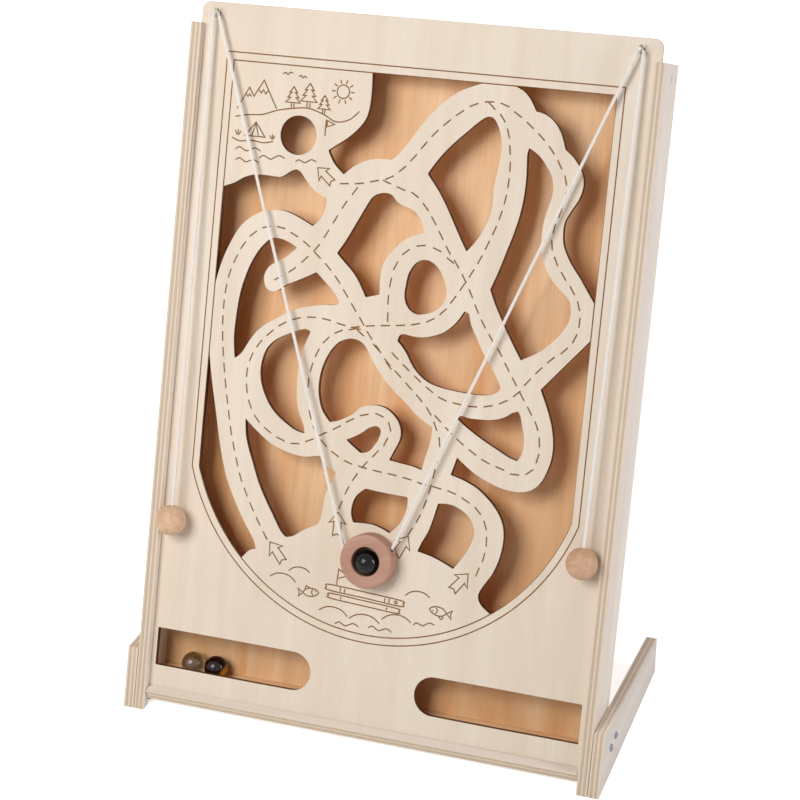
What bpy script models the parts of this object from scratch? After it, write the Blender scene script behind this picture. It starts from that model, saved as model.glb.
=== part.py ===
"""A leaning wooden board game: a ring on two strings carries a marble up a maze of cut-outs.

The maze panel leans back between two side boards that stand on feet. Each string runs from the
ring up through a screw eye and down to a pull bead. Marbles that fall through a cut-out land on
the bottom board, behind the two windows.

The board's own frame is an empty. In it X runs to the right, Y runs up along the maze panel from
the line where the panel meets the bottom board, and Z runs out of the panel's front face.
"""

import math

import bmesh
import bpy
from mathutils import Vector
from mathutils.geometry import interpolate_bezier

MM = 0.001

# General
LEAN = math.radians(27.5)
GAP = 0.3 * MM
OVERRUN = 1.0 * MM
MERGE = 0.001 * MM

# Case
INNER_WIDTH = 300.0 * MM
SIDE_THICKNESS = 7.3 * MM
SIDE_LIP = 5.5 * MM
SIDE_HEIGHT = 437.2 * MM
SIDE_DROP = 16.4 * MM
BALL_SPACE = 18.0 * MM
BACK_THICKNESS = 2.0 * MM
BACK_RECESS = 1.0 * MM
BOTTOM_THICKNESS = 6.6 * MM
TOP_BOARD_THICKNESS = 7.3 * MM
TOP_BOARD_DROP = 8.3 * MM

# Maze panel
PANEL_THICKNESS = 4.0 * MM
PANEL_RISE = 14.0 * MM
PANEL_CORNER = 5.5 * MM
GROOVE_DEPTH = 2.6 * MM
FIELD_SIDE_MARGIN = 22.7 * MM
FIELD_TOP_MARGIN = 35.9 * MM
FIELD_LOW_MARGIN = 19.2 * MM
FIELD_SHOULDER = 92.16 * MM
WINDOW_LOW = 14.4 * MM
WINDOW_HEIGHT = 25.4 * MM
WINDOW_INNER = 36.0 * MM
WINDOW_MARGIN = 3.2 * MM
TARGET_DIAMETER = 25.0 * MM
CURVE_STEPS = 2
ARC_STEPS = 8

# Feet
FOOT_THICKNESS = 7.3 * MM
FOOT_FRONT = 41.0 * MM
FOOT_LENGTH = 128.0 * MM
FOOT_BACK_REACH = 135.0 * MM
FOOT_BACK_HEIGHT = 23.0 * MM
FOOT_SCREW_PLACES = ((13.1 * MM, -11.5 * MM), (19.1 * MM, -20.5 * MM))
SCREW_RADIUS = 1.4 * MM
SCREW_HEAD_RADIUS = 2.9 * MM
SCREW_HEAD_HEIGHT = 1.1 * MM
SCREW_LENGTH = 12.5 * MM

# Staples that hold the top board
STAPLE_PLACES = (-10.2 * MM, -20.5 * MM)
STAPLE_CROWN = 5.0 * MM
STAPLE_WIRE = 0.9 * MM
STAPLE_LEG = 12.0 * MM

# Screw eyes
EYE_MARGIN = 9.6 * MM
EYE_DROP = 7.1 * MM
EYE_OUT = 4.6 * MM
EYE_RADIUS = 2.6 * MM
EYE_WIRE = 0.6 * MM
EYE_SHANK = 0.9 * MM
EYE_TIP = 0.25 * MM
EYE_TAPER = 2.5 * MM
EYE_REACH = 12.5 * MM

# Strings
STRING_RADIUS = 1.0 * MM
STRING_STEP = 6.0 * MM

# Ring and marbles
RING_ACROSS = -1.1 * MM
RING_UP = 108.8 * MM
RING_OUTER = 17.5 * MM
RING_INNER = 9.4 * MM
RING_THICKNESS = 12.0 * MM
RING_EDGE = 1.4 * MM
RING_SOCKET_DEPTH = 4.0 * MM
RING_SOCKET_RADIUS = 1.6 * MM
LEFT_SOCKET_ANGLE = math.radians(168.0)
RIGHT_SOCKET_ANGLE = math.radians(32.0)
MARBLE_RADIUS = 8.0 * MM
CLEAR_MARBLE_MARGIN = 25.0 * MM
MARBLE_SPACING = 0.6 * MM

# Pull beads
BEAD_RADIUS = 10.0 * MM
BEAD_MARGIN = 10.5 * MM
LEFT_BEAD_UP = 114.4 * MM
RIGHT_BEAD_UP = 129.7 * MM
BEAD_BORE = 1.4 * MM
KNOT_RADIUS = 2.3 * MM
KNOT_POCKET = 2.8 * MM
KNOT_DEPTH = 4.6 * MM

ON_ARC = None

# Each cut-out is a list of runs. A run starts at a corner, is smooth as far as the next run's
# start, and the last run ends at the first corner. A cut-out of one run has no corner. Points are
# shares of the field's half width and of its height. ON_ARC puts a point on the field's lower arc.
CUT_OUT_SHARES = {
    "sky_gap": [
        [(-0.250, 1.000), (-0.245, 0.965), (-0.252, 0.930), (-0.280, 0.908), (-0.340, 0.885),
         (-0.400, 0.869)],
        [(-0.447, 0.857), (-0.410, 0.835)],
        [(-0.352, 0.817), (-0.310, 0.831), (-0.250, 0.844), (-0.180, 0.851)],
        [(-0.105, 0.852), (-0.060, 0.868), (0.000, 0.900), (0.070, 0.935), (0.150, 0.965),
         (0.230, 0.985)],
        [(0.330, 1.000)],
    ],
    "upper_right_gap": [
        [(0.490, 1.000), (0.535, 0.993), (0.575, 0.980)],
        [(0.610, 0.960), (0.660, 0.956), (0.710, 0.944), (0.750, 0.924)],
        [(0.775, 0.900), (0.820, 0.888), (0.865, 0.867), (0.883, 0.845), (0.870, 0.820),
         (0.835, 0.797), (0.810, 0.777), (0.807, 0.757), (0.818, 0.735), (0.860, 0.708),
         (0.910, 0.686), (0.960, 0.662)],
        [(1.000, 0.643)],
        [(1.000, 1.000)],
    ],
    "right_bay": [
        [(1.000, 0.580)],
        [(0.775, 0.484), (0.815, 0.455), (0.848, 0.425), (0.866, 0.395), (0.867, 0.370),
         (0.852, 0.345), (0.820, 0.320), (0.770, 0.305), (0.700, 0.300), (0.620, 0.303),
         (0.540, 0.312), (0.460, 0.326)],
        [(0.385, 0.345)],
        [(0.360, 0.312), (0.420, 0.307), (0.500, 0.296), (0.570, 0.278), (0.625, 0.257),
         (0.658, 0.233), (0.665, 0.205), (0.652, 0.175), (0.625, 0.148), (0.585, 0.124),
         (0.565, 0.106), (0.585, 0.090)],
        [(0.637, ON_ARC), (0.730, ON_ARC), (0.820, ON_ARC), (0.900, ON_ARC), (0.960, ON_ARC)],
        [(1.000, ON_ARC)],
    ],
    "left_bay": [
        [(-1.000, 0.475), (-0.985, 0.444), (-0.962, 0.406), (-0.926, 0.352), (-0.889, 0.297),
         (-0.843, 0.246), (-0.783, 0.204), (-0.724, 0.170), (-0.664, 0.140)],
        [(-0.645, 0.123), (-0.680, 0.118)],
        [(-0.720, ON_ARC), (-0.800, ON_ARC), (-0.880, ON_ARC), (-0.950, ON_ARC)],
        [(-1.000, ON_ARC)],
    ],
    "upper_left_gap": [
        [(-1.000, 0.773), (-0.938, 0.782), (-0.890, 0.793), (-0.830, 0.800), (-0.750, 0.801),
         (-0.690, 0.801), (-0.645, 0.811), (-0.611, 0.817), (-0.581, 0.812), (-0.533, 0.793),
         (-0.486, 0.780)],
        [(-0.432, 0.772), (-0.434, 0.755), (-0.455, 0.735)],
        [(-0.492, 0.7195), (-0.545, 0.728), (-0.605, 0.7365), (-0.660, 0.741), (-0.720, 0.740),
         (-0.775, 0.735), (-0.830, 0.724), (-0.885, 0.705), (-0.925, 0.680), (-0.960, 0.650),
         (-0.985, 0.620)],
        [(-1.000, 0.592)],
    ],
    "crescent": [
        [(-0.855, 0.465), (-0.869, 0.500), (-0.868, 0.540), (-0.858, 0.580), (-0.840, 0.610),
         (-0.812, 0.640), (-0.777, 0.664), (-0.742, 0.680), (-0.706, 0.690), (-0.665, 0.691),
         (-0.610, 0.686)],
        [(-0.567, 0.678), (-0.620, 0.660), (-0.670, 0.648), (-0.710, 0.638), (-0.732, 0.620),
         (-0.720, 0.602), (-0.690, 0.595), (-0.650, 0.598), (-0.610, 0.609), (-0.560, 0.618),
         (-0.500, 0.629)],
        [(-0.450, 0.639), (-0.400, 0.624), (-0.355, 0.610)],
        [(-0.315, 0.593), (-0.325, 0.585), (-0.380, 0.583), (-0.450, 0.578), (-0.520, 0.571),
         (-0.580, 0.561), (-0.640, 0.548), (-0.700, 0.534), (-0.750, 0.517), (-0.790, 0.495),
         (-0.820, 0.476)],
    ],
    "half_moon": [
        [(-0.452, 0.531), (-0.480, 0.503), (-0.497, 0.475), (-0.501, 0.445), (-0.495, 0.410),
         (-0.475, 0.382), (-0.445, 0.362)],
        [(-0.435, 0.347), (-0.485, 0.350), (-0.545, 0.361), (-0.605, 0.376), (-0.652, 0.395),
         (-0.688, 0.419), (-0.706, 0.444), (-0.702, 0.470), (-0.680, 0.492), (-0.640, 0.508),
         (-0.590, 0.519), (-0.530, 0.529), (-0.480, 0.535)],
    ],
    "centre_bay": [
        [(-0.304, 0.374), (-0.260, 0.379), (-0.212, 0.388), (-0.176, 0.397), (-0.150, 0.407),
         (-0.115, 0.413), (-0.070, 0.416), (-0.020, 0.414), (0.025, 0.405), (0.060, 0.392),
         (0.077, 0.377), (0.077, 0.362), (0.060, 0.346)],
        [(0.030, 0.322), (0.100, 0.319), (0.155, 0.317)],
        [(0.207, 0.313), (0.222, 0.340), (0.236, 0.360)],
        [(0.243, 0.391), (0.200, 0.399), (0.150, 0.410), (0.100, 0.425), (0.040, 0.441),
         (-0.020, 0.459), (-0.070, 0.478), (-0.110, 0.497), (-0.140, 0.513), (-0.170, 0.524),
         (-0.218, 0.529), (-0.260, 0.526), (-0.300, 0.518), (-0.337, 0.501), (-0.366, 0.478),
         (-0.381, 0.452), (-0.381, 0.427), (-0.366, 0.405), (-0.343, 0.389)],
    ],
    "drop": [
        [(-0.208, 0.347), (-0.164, 0.355), (-0.122, 0.365), (-0.087, 0.375), (-0.051, 0.379),
         (-0.028, 0.373), (-0.033, 0.359), (-0.055, 0.343), (-0.085, 0.331)],
        [(-0.125, 0.327), (-0.170, 0.337)],
    ],
    "kite": [
        [(-0.350, 0.677), (-0.307, 0.663), (-0.260, 0.648), (-0.224, 0.633), (-0.194, 0.616)],
        [(-0.176, 0.605)],
        [(-0.102, 0.613), (-0.107, 0.635), (-0.105, 0.657), (-0.087, 0.678), (-0.045, 0.698),
         (0.000, 0.714), (0.050, 0.724)],
        [(0.100, 0.731), (0.085, 0.746), (0.060, 0.760), (0.025, 0.769), (-0.020, 0.774),
         (-0.057, 0.780), (-0.085, 0.790), (-0.120, 0.793), (-0.165, 0.789), (-0.195, 0.780),
         (-0.218, 0.765), (-0.248, 0.744), (-0.283, 0.719), (-0.319, 0.695)],
    ],
    "leaf": [
        [(0.088, 0.834), (0.115, 0.850), (0.163, 0.874), (0.222, 0.897), (0.282, 0.918),
         (0.330, 0.934), (0.375, 0.944), (0.410, 0.938), (0.438, 0.920), (0.454, 0.897),
         (0.452, 0.870), (0.443, 0.845), (0.435, 0.820), (0.437, 0.795), (0.430, 0.773),
         (0.413, 0.755), (0.390, 0.738), (0.360, 0.721)],
        [(0.328, 0.707), (0.300, 0.722), (0.250, 0.752), (0.200, 0.782), (0.150, 0.808)],
    ],
    "oval": [
        [(0.030, 0.635), (0.038, 0.655), (0.062, 0.672), (0.091, 0.681), (0.125, 0.684),
         (0.163, 0.680), (0.200, 0.669), (0.228, 0.652), (0.246, 0.633), (0.240, 0.616),
         (0.210, 0.601), (0.175, 0.593), (0.133, 0.588), (0.097, 0.587), (0.062, 0.593),
         (0.038, 0.604), (0.028, 0.618)],
    ],
    "long_bay": [
        [(0.595, 0.897), (0.587, 0.885), (0.593, 0.850), (0.592, 0.815), (0.580, 0.780),
         (0.557, 0.745), (0.530, 0.713), (0.502, 0.680)],
        [(0.468, 0.646), (0.500, 0.622), (0.540, 0.597), (0.580, 0.573), (0.620, 0.551)],
        [(0.660, 0.530), (0.700, 0.538), (0.750, 0.549), (0.805, 0.567), (0.850, 0.586),
         (0.880, 0.607), (0.886, 0.627), (0.870, 0.645), (0.830, 0.658), (0.790, 0.670),
         (0.755, 0.685), (0.730, 0.700), (0.710, 0.720), (0.702, 0.745), (0.704, 0.770),
         (0.716, 0.793), (0.730, 0.812), (0.735, 0.832), (0.720, 0.853), (0.690, 0.869),
         (0.650, 0.885)],
    ],
    "fan": [
        [(0.014, 0.535), (0.022, 0.545), (0.045, 0.549), (0.100, 0.547), (0.150, 0.548),
         (0.200, 0.553), (0.250, 0.561), (0.290, 0.573), (0.320, 0.586)],
        [(0.348, 0.603)],
        [(0.372, 0.600), (0.390, 0.580), (0.420, 0.562), (0.455, 0.540), (0.500, 0.518),
         (0.540, 0.498)],
        [(0.574, 0.477), (0.550, 0.467), (0.500, 0.461), (0.430, 0.4595), (0.350, 0.4605),
         (0.270, 0.463), (0.200, 0.469), (0.155, 0.478), (0.120, 0.489), (0.095, 0.500),
         (0.070, 0.514), (0.040, 0.527)],
    ],
    "lens": [
        [(0.362, 0.414), (0.385, 0.419), (0.430, 0.417), (0.500, 0.418), (0.560, 0.421),
         (0.610, 0.428), (0.645, 0.437)],
        [(0.675, 0.441), (0.690, 0.431), (0.700, 0.418), (0.715, 0.402), (0.720, 0.385),
         (0.714, 0.367)],
        [(0.695, 0.354), (0.650, 0.358), (0.590, 0.368), (0.530, 0.378), (0.460, 0.391),
         (0.400, 0.404)],
    ],
    "court": [
        [(0.310, 0.258), (0.353, 0.260), (0.400, 0.258), (0.445, 0.251), (0.484, 0.240),
         (0.507, 0.226), (0.513, 0.212), (0.503, 0.197), (0.485, 0.182), (0.460, 0.166)],
        [(0.422, 0.146), (0.360, 0.155), (0.300, 0.162)],
        [(0.226, 0.167), (0.245, 0.185), (0.272, 0.205), (0.292, 0.230)],
    ],
    "arch": [
        [(-0.129, 0.200), (-0.143, 0.213), (-0.144, 0.229), (-0.130, 0.246), (-0.105, 0.257)],
        [(-0.078, 0.265), (-0.020, 0.263), (0.050, 0.262)],
        [(0.148, 0.261), (0.150, 0.243), (0.138, 0.226), (0.115, 0.209)],
        [(0.068, 0.191), (0.020, 0.198), (-0.040, 0.202)],
    ],
    "sail": [
        [(-0.766, 0.359), (-0.730, 0.348), (-0.665, 0.331), (-0.605, 0.3185), (-0.545, 0.311),
         (-0.486, 0.3065), (-0.426, 0.305), (-0.380, 0.308)],
        [(-0.342, 0.311), (-0.300, 0.294)],
        [(-0.245, 0.286), (-0.262, 0.268), (-0.285, 0.252), (-0.297, 0.228), (-0.303, 0.203),
         (-0.320, 0.187), (-0.355, 0.179), (-0.400, 0.170), (-0.445, 0.158)],
        [(-0.486, 0.1535), (-0.520, 0.164), (-0.570, 0.191), (-0.617, 0.2165), (-0.664, 0.246),
         (-0.700, 0.276), (-0.7355, 0.306), (-0.757, 0.331)],
    ],
}
TARGET_SHARE = (-0.614, 0.8777)

# Worked out from the sizes above
SIDE_INNER = INNER_WIDTH / 2
SIDE_OUTER = SIDE_INNER + SIDE_THICKNESS
PANEL_TOP = SIDE_HEIGHT + PANEL_RISE
WINDOW_HIGH = WINDOW_LOW + WINDOW_HEIGHT
WINDOW_OUTER = SIDE_INNER - WINDOW_MARGIN
FIELD_HALF_WIDTH = SIDE_INNER - FIELD_SIDE_MARGIN
FIELD_TOP = PANEL_TOP - FIELD_TOP_MARGIN
FIELD_BOTTOM = WINDOW_HIGH + FIELD_LOW_MARGIN
FIELD_ARC = (FIELD_HALF_WIDTH ** 2 + FIELD_SHOULDER ** 2) / (2 * FIELD_SHOULDER)
BACK_FRONT = -PANEL_THICKNESS - BALL_SPACE
BACK_REAR = BACK_FRONT - BACK_THICKNESS
CASE_BACK = BACK_REAR - BACK_RECESS
FIELD_HEIGHT = FIELD_TOP - FIELD_BOTTOM
SLOPE = math.tan(LEAN)
FOOT_INNER = SIDE_OUTER + GAP
FOOT_OUTER = FOOT_INNER + FOOT_THICKNESS
TOP_BOARD_MIDDLE = SIDE_HEIGHT - TOP_BOARD_DROP
TOP_BOARD_LOW = TOP_BOARD_MIDDLE - TOP_BOARD_THICKNESS / 2
TOP_BOARD_HIGH = TOP_BOARD_MIDDLE + TOP_BOARD_THICKNESS / 2
EYE_ACROSS = SIDE_INNER - EYE_MARGIN
EYE_UP = PANEL_TOP - EYE_DROP
BEND_RADIUS = EYE_WIRE + STRING_RADIUS + GAP
BEND_UP = EYE_UP - EYE_RADIUS
BEAD_ACROSS = SIDE_INNER - BEAD_MARGIN
BEAD_OUT = BEAD_RADIUS + GAP
CLEAR_MARBLE_ACROSS = CLEAR_MARBLE_MARGIN - SIDE_INNER
AMBER_MARBLE_ACROSS = CLEAR_MARBLE_ACROSS + 2 * MARBLE_RADIUS + MARBLE_SPACING
TRAY_MARBLE_DEPTH = -PANEL_THICKNESS - BALL_SPACE / 2
RING_MIDDLE = RING_THICKNESS / 2 + GAP


def world_from_board(across, up, out):
    """The place that a board-frame point has in the world before the frame is centred."""
    back = up * math.sin(LEAN) - out * math.cos(LEAN)
    height = up * math.cos(LEAN) + out * math.sin(LEAN)
    return Vector((across, back, height))


def board_from_run(back, height):
    """A step in the world, back and up, as a step along and out of the board."""
    up = back * math.sin(LEAN) + height * math.cos(LEAN)
    out = height * math.sin(LEAN) - back * math.cos(LEAN)
    return up, out


def table_level(out):
    """How far up the board the table meets a line that runs along the board at this depth."""
    return (SIDE_LIP - out) * SLOPE - SIDE_DROP


def ledge_level(out):
    """How far up the board the bottom board's top face lies at this depth."""
    return -out * SLOPE


def make_material(name, colour, roughness, metallic=0.0):
    material = bpy.data.materials.new(name)
    material.use_nodes = True
    shader = material.node_tree.nodes["Principled BSDF"]
    shader.inputs["Base Color"].default_value = (*colour, 1.0)
    shader.inputs["Roughness"].default_value = roughness
    shader.inputs["Metallic"].default_value = metallic
    return material


def add_object(name, data, material, frame, place=(0.0, 0.0, 0.0)):
    """Puts a mesh or curve in the scene, on the board's frame, with its own material."""
    item = bpy.data.objects.new(name, data)
    data.materials.clear()
    data.materials.append(material)
    item.parent = frame
    item.location = place
    bpy.context.scene.collection.objects.link(item)
    return item


def mesh_from(bm, name):
    bmesh.ops.remove_doubles(bm, verts=bm.verts, dist=MERGE)
    bmesh.ops.recalc_face_normals(bm, faces=bm.faces)
    mesh = bpy.data.meshes.new(name)
    bm.to_mesh(mesh)
    bm.free()
    return mesh


def prism(name, outline, low, high):
    """A solid between two copies of an outline, each placed by its own function."""
    bm = bmesh.new()
    ends = [[bm.verts.new(place(a, b)) for a, b in outline] for place in (low, high)]
    bm.faces.new(ends[0])
    bm.faces.new(ends[1])
    for i in range(len(outline)):
        j = (i + 1) % len(outline)
        bm.faces.new((ends[0][i], ends[0][j], ends[1][j], ends[1][i]))
    return mesh_from(bm, name)


def box_mesh(name, low, high):
    outline = [(low[0], low[1]), (high[0], low[1]), (high[0], high[1]), (low[0], high[1])]
    return prism(name, outline, lambda a, b: (a, b, low[2]), lambda a, b: (a, b, high[2]))


def turned(name, profile, axis, sides, smooth=True):
    """Turns a closed profile of (radius, distance along the axis) points into a solid."""
    first = Vector((0.0, 0.0, 1.0)) if abs(axis.z) < abs(axis.x) else Vector((1.0, 0.0, 0.0))
    across = axis.cross(first).normalized()
    bm = bmesh.new()
    points = [bm.verts.new(across * radius + axis * along) for radius, along in profile]
    edges = [bm.edges.new((points[i - 1], points[i])) for i in range(len(points))]
    bmesh.ops.spin(bm, geom=points + edges, cent=(0.0, 0.0, 0.0), axis=axis, dvec=(0.0, 0.0, 0.0),
                   angle=math.tau, steps=sides, use_merge=True)
    bmesh.ops.remove_doubles(bm, verts=bm.verts, dist=MERGE)
    flat = [face for face in bm.faces if face.calc_area() < MERGE * MERGE]
    bmesh.ops.delete(bm, geom=flat, context="FACES")
    mesh = mesh_from(bm, name)
    if smooth:
        mesh.shade_smooth()
        mesh.set_sharp_from_angle(angle=SHARP_ANGLE)
    return mesh


SHARP_ANGLE = math.radians(35.0)
BALL_SIDES = 24
SMALL_SIDES = 16
RING_SIDES = 48


def arc(centre, radius, start, end, steps):
    """Points of an arc in a plane, both ends included."""
    angles = [start + (end - start) * i / steps for i in range(steps + 1)]
    return [(centre[0] + radius * math.cos(t), centre[1] + radius * math.sin(t)) for t in angles]


def cut(item, cutter_mesh, name, place=(0.0, 0.0, 0.0)):
    """Cuts a shape out of a piece with a Boolean, whose cutter stays as a hidden guide."""
    cutter = bpy.data.objects.new(name, cutter_mesh)
    cutter.parent = item.parent
    cutter.location = place
    cutter.hide_render = True
    cutter.display_type = "WIRE"
    bpy.context.scene.collection.objects.link(cutter)
    modifier = item.modifiers.new(name, "BOOLEAN")
    modifier.operation = "DIFFERENCE"
    modifier.solver = "EXACT"
    modifier.object = cutter


def smooth_run(before, points, after, steps):
    """A smooth curve through the points of a run, without its last point."""
    line = [Vector(p) for p in points]
    tangents = []
    for i, point in enumerate(line):
        back = line[i - 1] if i > 0 else before
        ahead = line[i + 1] if i + 1 < len(line) else after
        if back is None or ahead is None:
            tangents.append(Vector((0.0, 0.0)))
        else:
            tangents.append((ahead - back) / 6)
    curve = []
    for i in range(len(line) - 1):
        knot, other = line[i], line[i + 1]
        curve += interpolate_bezier(knot, knot + tangents[i], other - tangents[i + 1], other,
                                    steps + 1)[:-1]
    return curve


def field_point(share):
    """A point of the maze field, on the board, from shares of the field's size."""
    across = share[0] * FIELD_HALF_WIDTH
    if share[1] is ON_ARC:
        return across, FIELD_BOTTOM + FIELD_ARC - math.sqrt(FIELD_ARC ** 2 - across ** 2)
    return across, FIELD_BOTTOM + share[1] * FIELD_HEIGHT


def cut_out_outline(runs):
    """The closed outline of one cut-out of the maze."""
    places = [[field_point(share) for share in run] for run in runs]
    if len(places) == 1:
        loop = [Vector(p) for p in places[0]]
        return smooth_run(loop[-1], loop + [loop[0]], loop[1], CURVE_STEPS)
    outline = []
    for run, following in zip(places, places[1:] + places[:1]):
        outline += smooth_run(None, run + [following[0]], None, CURVE_STEPS if len(run) > 1 else 1)
    return outline


def circle_outline(centre, radius, sides):
    return arc(centre, radius, 0.0, math.tau * (sides - 1) / sides, sides - 1)


def window_outline(side):
    """A window of the bottom board: square at the side board and round at its inner end."""
    radius = (WINDOW_HIGH - WINDOW_LOW) / 2
    middle = (WINDOW_HIGH + WINDOW_LOW) / 2
    inner = arc((WINDOW_INNER + radius, middle), radius, math.radians(270.0), math.radians(90.0),
                ARC_STEPS)
    outline = [(WINDOW_OUTER, WINDOW_LOW)] + inner + [(WINDOW_OUTER, WINDOW_HIGH)]
    return [(side * across, up) for across, up in outline]


def panel_edge():
    """The maze panel's own outline, with its rounded top corners."""
    half = SIDE_INNER + GROOVE_DEPTH
    top = PANEL_TOP - PANEL_CORNER
    right = arc((half - PANEL_CORNER, top), PANEL_CORNER, 0.0, math.radians(90.0), ARC_STEPS)
    left = [(-across, up) for across, up in reversed(right)]
    return [(-half, GAP), (half, GAP)] + right + left


def make_maze_panel(frame, material):
    """The panel is filled between its outline and its cut-outs, and then given its thickness."""
    holes = [cut_out_outline(runs) for runs in CUT_OUT_SHARES.values()]
    holes.append(circle_outline(field_point(TARGET_SHARE), TARGET_DIAMETER / 2, RING_SIDES))
    for side in (-1, 1):
        holes.append(window_outline(side))
        holes.append(circle_outline((side * EYE_ACROSS, EYE_UP), EYE_SHANK + GAP, SMALL_SIDES))
    bm = bmesh.new()
    edges = []
    for outline in [panel_edge()] + holes:
        verts = [bm.verts.new((point[0], point[1], 0.0)) for point in outline]
        edges += [bm.edges.new((verts[i - 1], verts[i])) for i in range(len(verts))]
    filled = bmesh.ops.triangle_fill(bm, edges=edges, use_beauty=True, use_dissolve=False,
                                     normal=(0.0, 0.0, 1.0))
    faces = [item for item in filled["geom"] if isinstance(item, bmesh.types.BMFace)]
    grown = bmesh.ops.extrude_face_region(bm, geom=faces, use_keep_orig=True)
    for vert in grown["geom"]:
        if isinstance(vert, bmesh.types.BMVert):
            vert.co.z -= PANEL_THICKNESS
            if vert.co.y < GAP + MERGE:
                vert.co.y += ledge_level(vert.co.z)
    return add_object("maze_panel", mesh_from(bm, "maze_panel"), material, frame)


def make_side_board(side, name, frame, material):
    """A side board, grooved for the maze panel, with its lower end cut level with the table."""
    groove = SIDE_INNER + GROOVE_DEPTH + GAP
    section = [(SIDE_INNER, SIDE_LIP), (SIDE_OUTER, SIDE_LIP), (SIDE_OUTER, CASE_BACK),
               (SIDE_INNER, CASE_BACK), (SIDE_INNER, -PANEL_THICKNESS - GAP),
               (groove, -PANEL_THICKNESS - GAP), (groove, GAP), (SIDE_INNER, GAP)]
    mesh = prism(name, section, lambda a, b: (side * a, table_level(b), b),
                 lambda a, b: (side * a, SIDE_HEIGHT, b))
    return add_object(name, mesh, material, frame)


def make_bottom_board(frame, material):
    """The level board that the marbles land on, with its front edge square to the table."""
    front_drop = board_from_run(0.0, -BOTTOM_THICKNESS)
    back_drop = BOTTOM_THICKNESS / math.cos(LEAN)
    section = [(ledge_level(SIDE_LIP), SIDE_LIP),
               (ledge_level(SIDE_LIP) + front_drop[0], SIDE_LIP + front_drop[1]),
               (ledge_level(CASE_BACK) - back_drop, CASE_BACK),
               (ledge_level(CASE_BACK), CASE_BACK)]
    half = SIDE_INNER - GAP
    mesh = prism("bottom_board", section, lambda a, b: (-half, a, b), lambda a, b: (half, a, b))
    return add_object("bottom_board", mesh, material, frame)


def make_top_board(frame, material):
    half = SIDE_INNER - GAP
    mesh = box_mesh("top_board", (-half, TOP_BOARD_LOW, CASE_BACK),
                    (half, TOP_BOARD_HIGH, -PANEL_THICKNESS - GAP))
    return add_object("top_board", mesh, material, frame)


def make_back_panel(frame, material):
    """The thin back of the ball space, standing on the bottom board under the top board."""
    half = SIDE_INNER - GAP
    section = [(-half, BACK_FRONT), (half, BACK_FRONT), (half, BACK_REAR), (-half, BACK_REAR)]
    mesh = prism("back_panel", section, lambda a, b: (a, ledge_level(b) + GAP, b),
                 lambda a, b: (a, TOP_BOARD_LOW - GAP, b))
    return add_object("back_panel", mesh, material, frame)


def make_foot(side, name, frame, material):
    """A foot plate: its front edge follows the side board and its lower edge lies on the table."""
    front_low = (-SIDE_DROP, SIDE_LIP)
    section = [front_low, (FOOT_FRONT - SIDE_DROP, SIDE_LIP)]
    for back, height in ((FOOT_BACK_REACH, FOOT_BACK_HEIGHT), (FOOT_LENGTH, 0.0)):
        step = board_from_run(back, height)
        section.append((front_low[0] + step[0], front_low[1] + step[1]))
    mesh = prism(name, section, lambda a, b: (side * FOOT_INNER, a, b),
                 lambda a, b: (side * FOOT_OUTER, a, b))
    return add_object(name, mesh, material, frame)


def make_foot_screws(side, name, pieces, frame, material):
    """The two screws that hold a foot, in holes through the foot and into the side board."""
    axis = Vector((side, 0.0, 0.0))
    dome = [(SCREW_HEAD_RADIUS, 0.0), (SCREW_HEAD_RADIUS, SCREW_HEAD_HEIGHT / 3),
            (SCREW_HEAD_RADIUS * 2 / 3, SCREW_HEAD_HEIGHT), (0.0, SCREW_HEAD_HEIGHT)]
    profile = dome + [(0.0, -SCREW_LENGTH), (SCREW_RADIUS, SCREW_RADIUS - SCREW_LENGTH),
                      (SCREW_RADIUS, 0.0)]
    screw = turned(name + "_screw", profile, axis, SMALL_SIDES)
    hole = SCREW_RADIUS + GAP
    bore = [(0.0, OVERRUN), (0.0, -SCREW_LENGTH - 2 * GAP), (hole, -SCREW_LENGTH - 2 * GAP),
            (hole, OVERRUN)]
    bore_mesh = turned(name + "_screw_bore", bore, axis, SMALL_SIDES, smooth=False)
    for which, (up, out) in zip(("front", "back"), FOOT_SCREW_PLACES):
        place = (side * (FOOT_OUTER + GAP), up, out)
        for piece in pieces:
            cut(piece, bore_mesh, f"{piece.name}_{which}_screw_bore", place)
        add_object(f"{name}_foot_{which}_screw", screw.copy(), material, frame, place)


def make_staples(side, name, pieces, frame, material):
    """The two staples through a side board into the top board, each in its own slot."""
    outer = SIDE_OUTER
    inner = outer - STAPLE_LEG
    half = STAPLE_CROWN / 2
    leg = half - STAPLE_WIRE
    crown = outer - STAPLE_WIRE
    section = [(inner, -half), (outer, -half), (outer, half), (inner, half), (inner, leg),
               (crown, leg), (crown, -leg), (inner, -leg)]
    staple = prism(name + "_staple", section, lambda a, b: (side * a, b, -STAPLE_WIRE / 2),
                   lambda a, b: (side * a, b, STAPLE_WIRE / 2))
    slot_half = STAPLE_WIRE / 2 + GAP
    ends = sorted((side * (inner - GAP), side * (outer + OVERRUN)))
    slot = box_mesh(name + "_staple_slot", (ends[0], -half - GAP, -slot_half),
                    (ends[1], half + GAP, slot_half))
    for which, out in zip(("front", "back"), STAPLE_PLACES):
        place = (0.0, TOP_BOARD_MIDDLE, out)
        for piece in pieces:
            cut(piece, slot, f"{piece.name}_{name}_{which}_staple_slot", place)
        add_object(f"{name}_top_{which}_staple", staple.copy(), material, frame, place)


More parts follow.
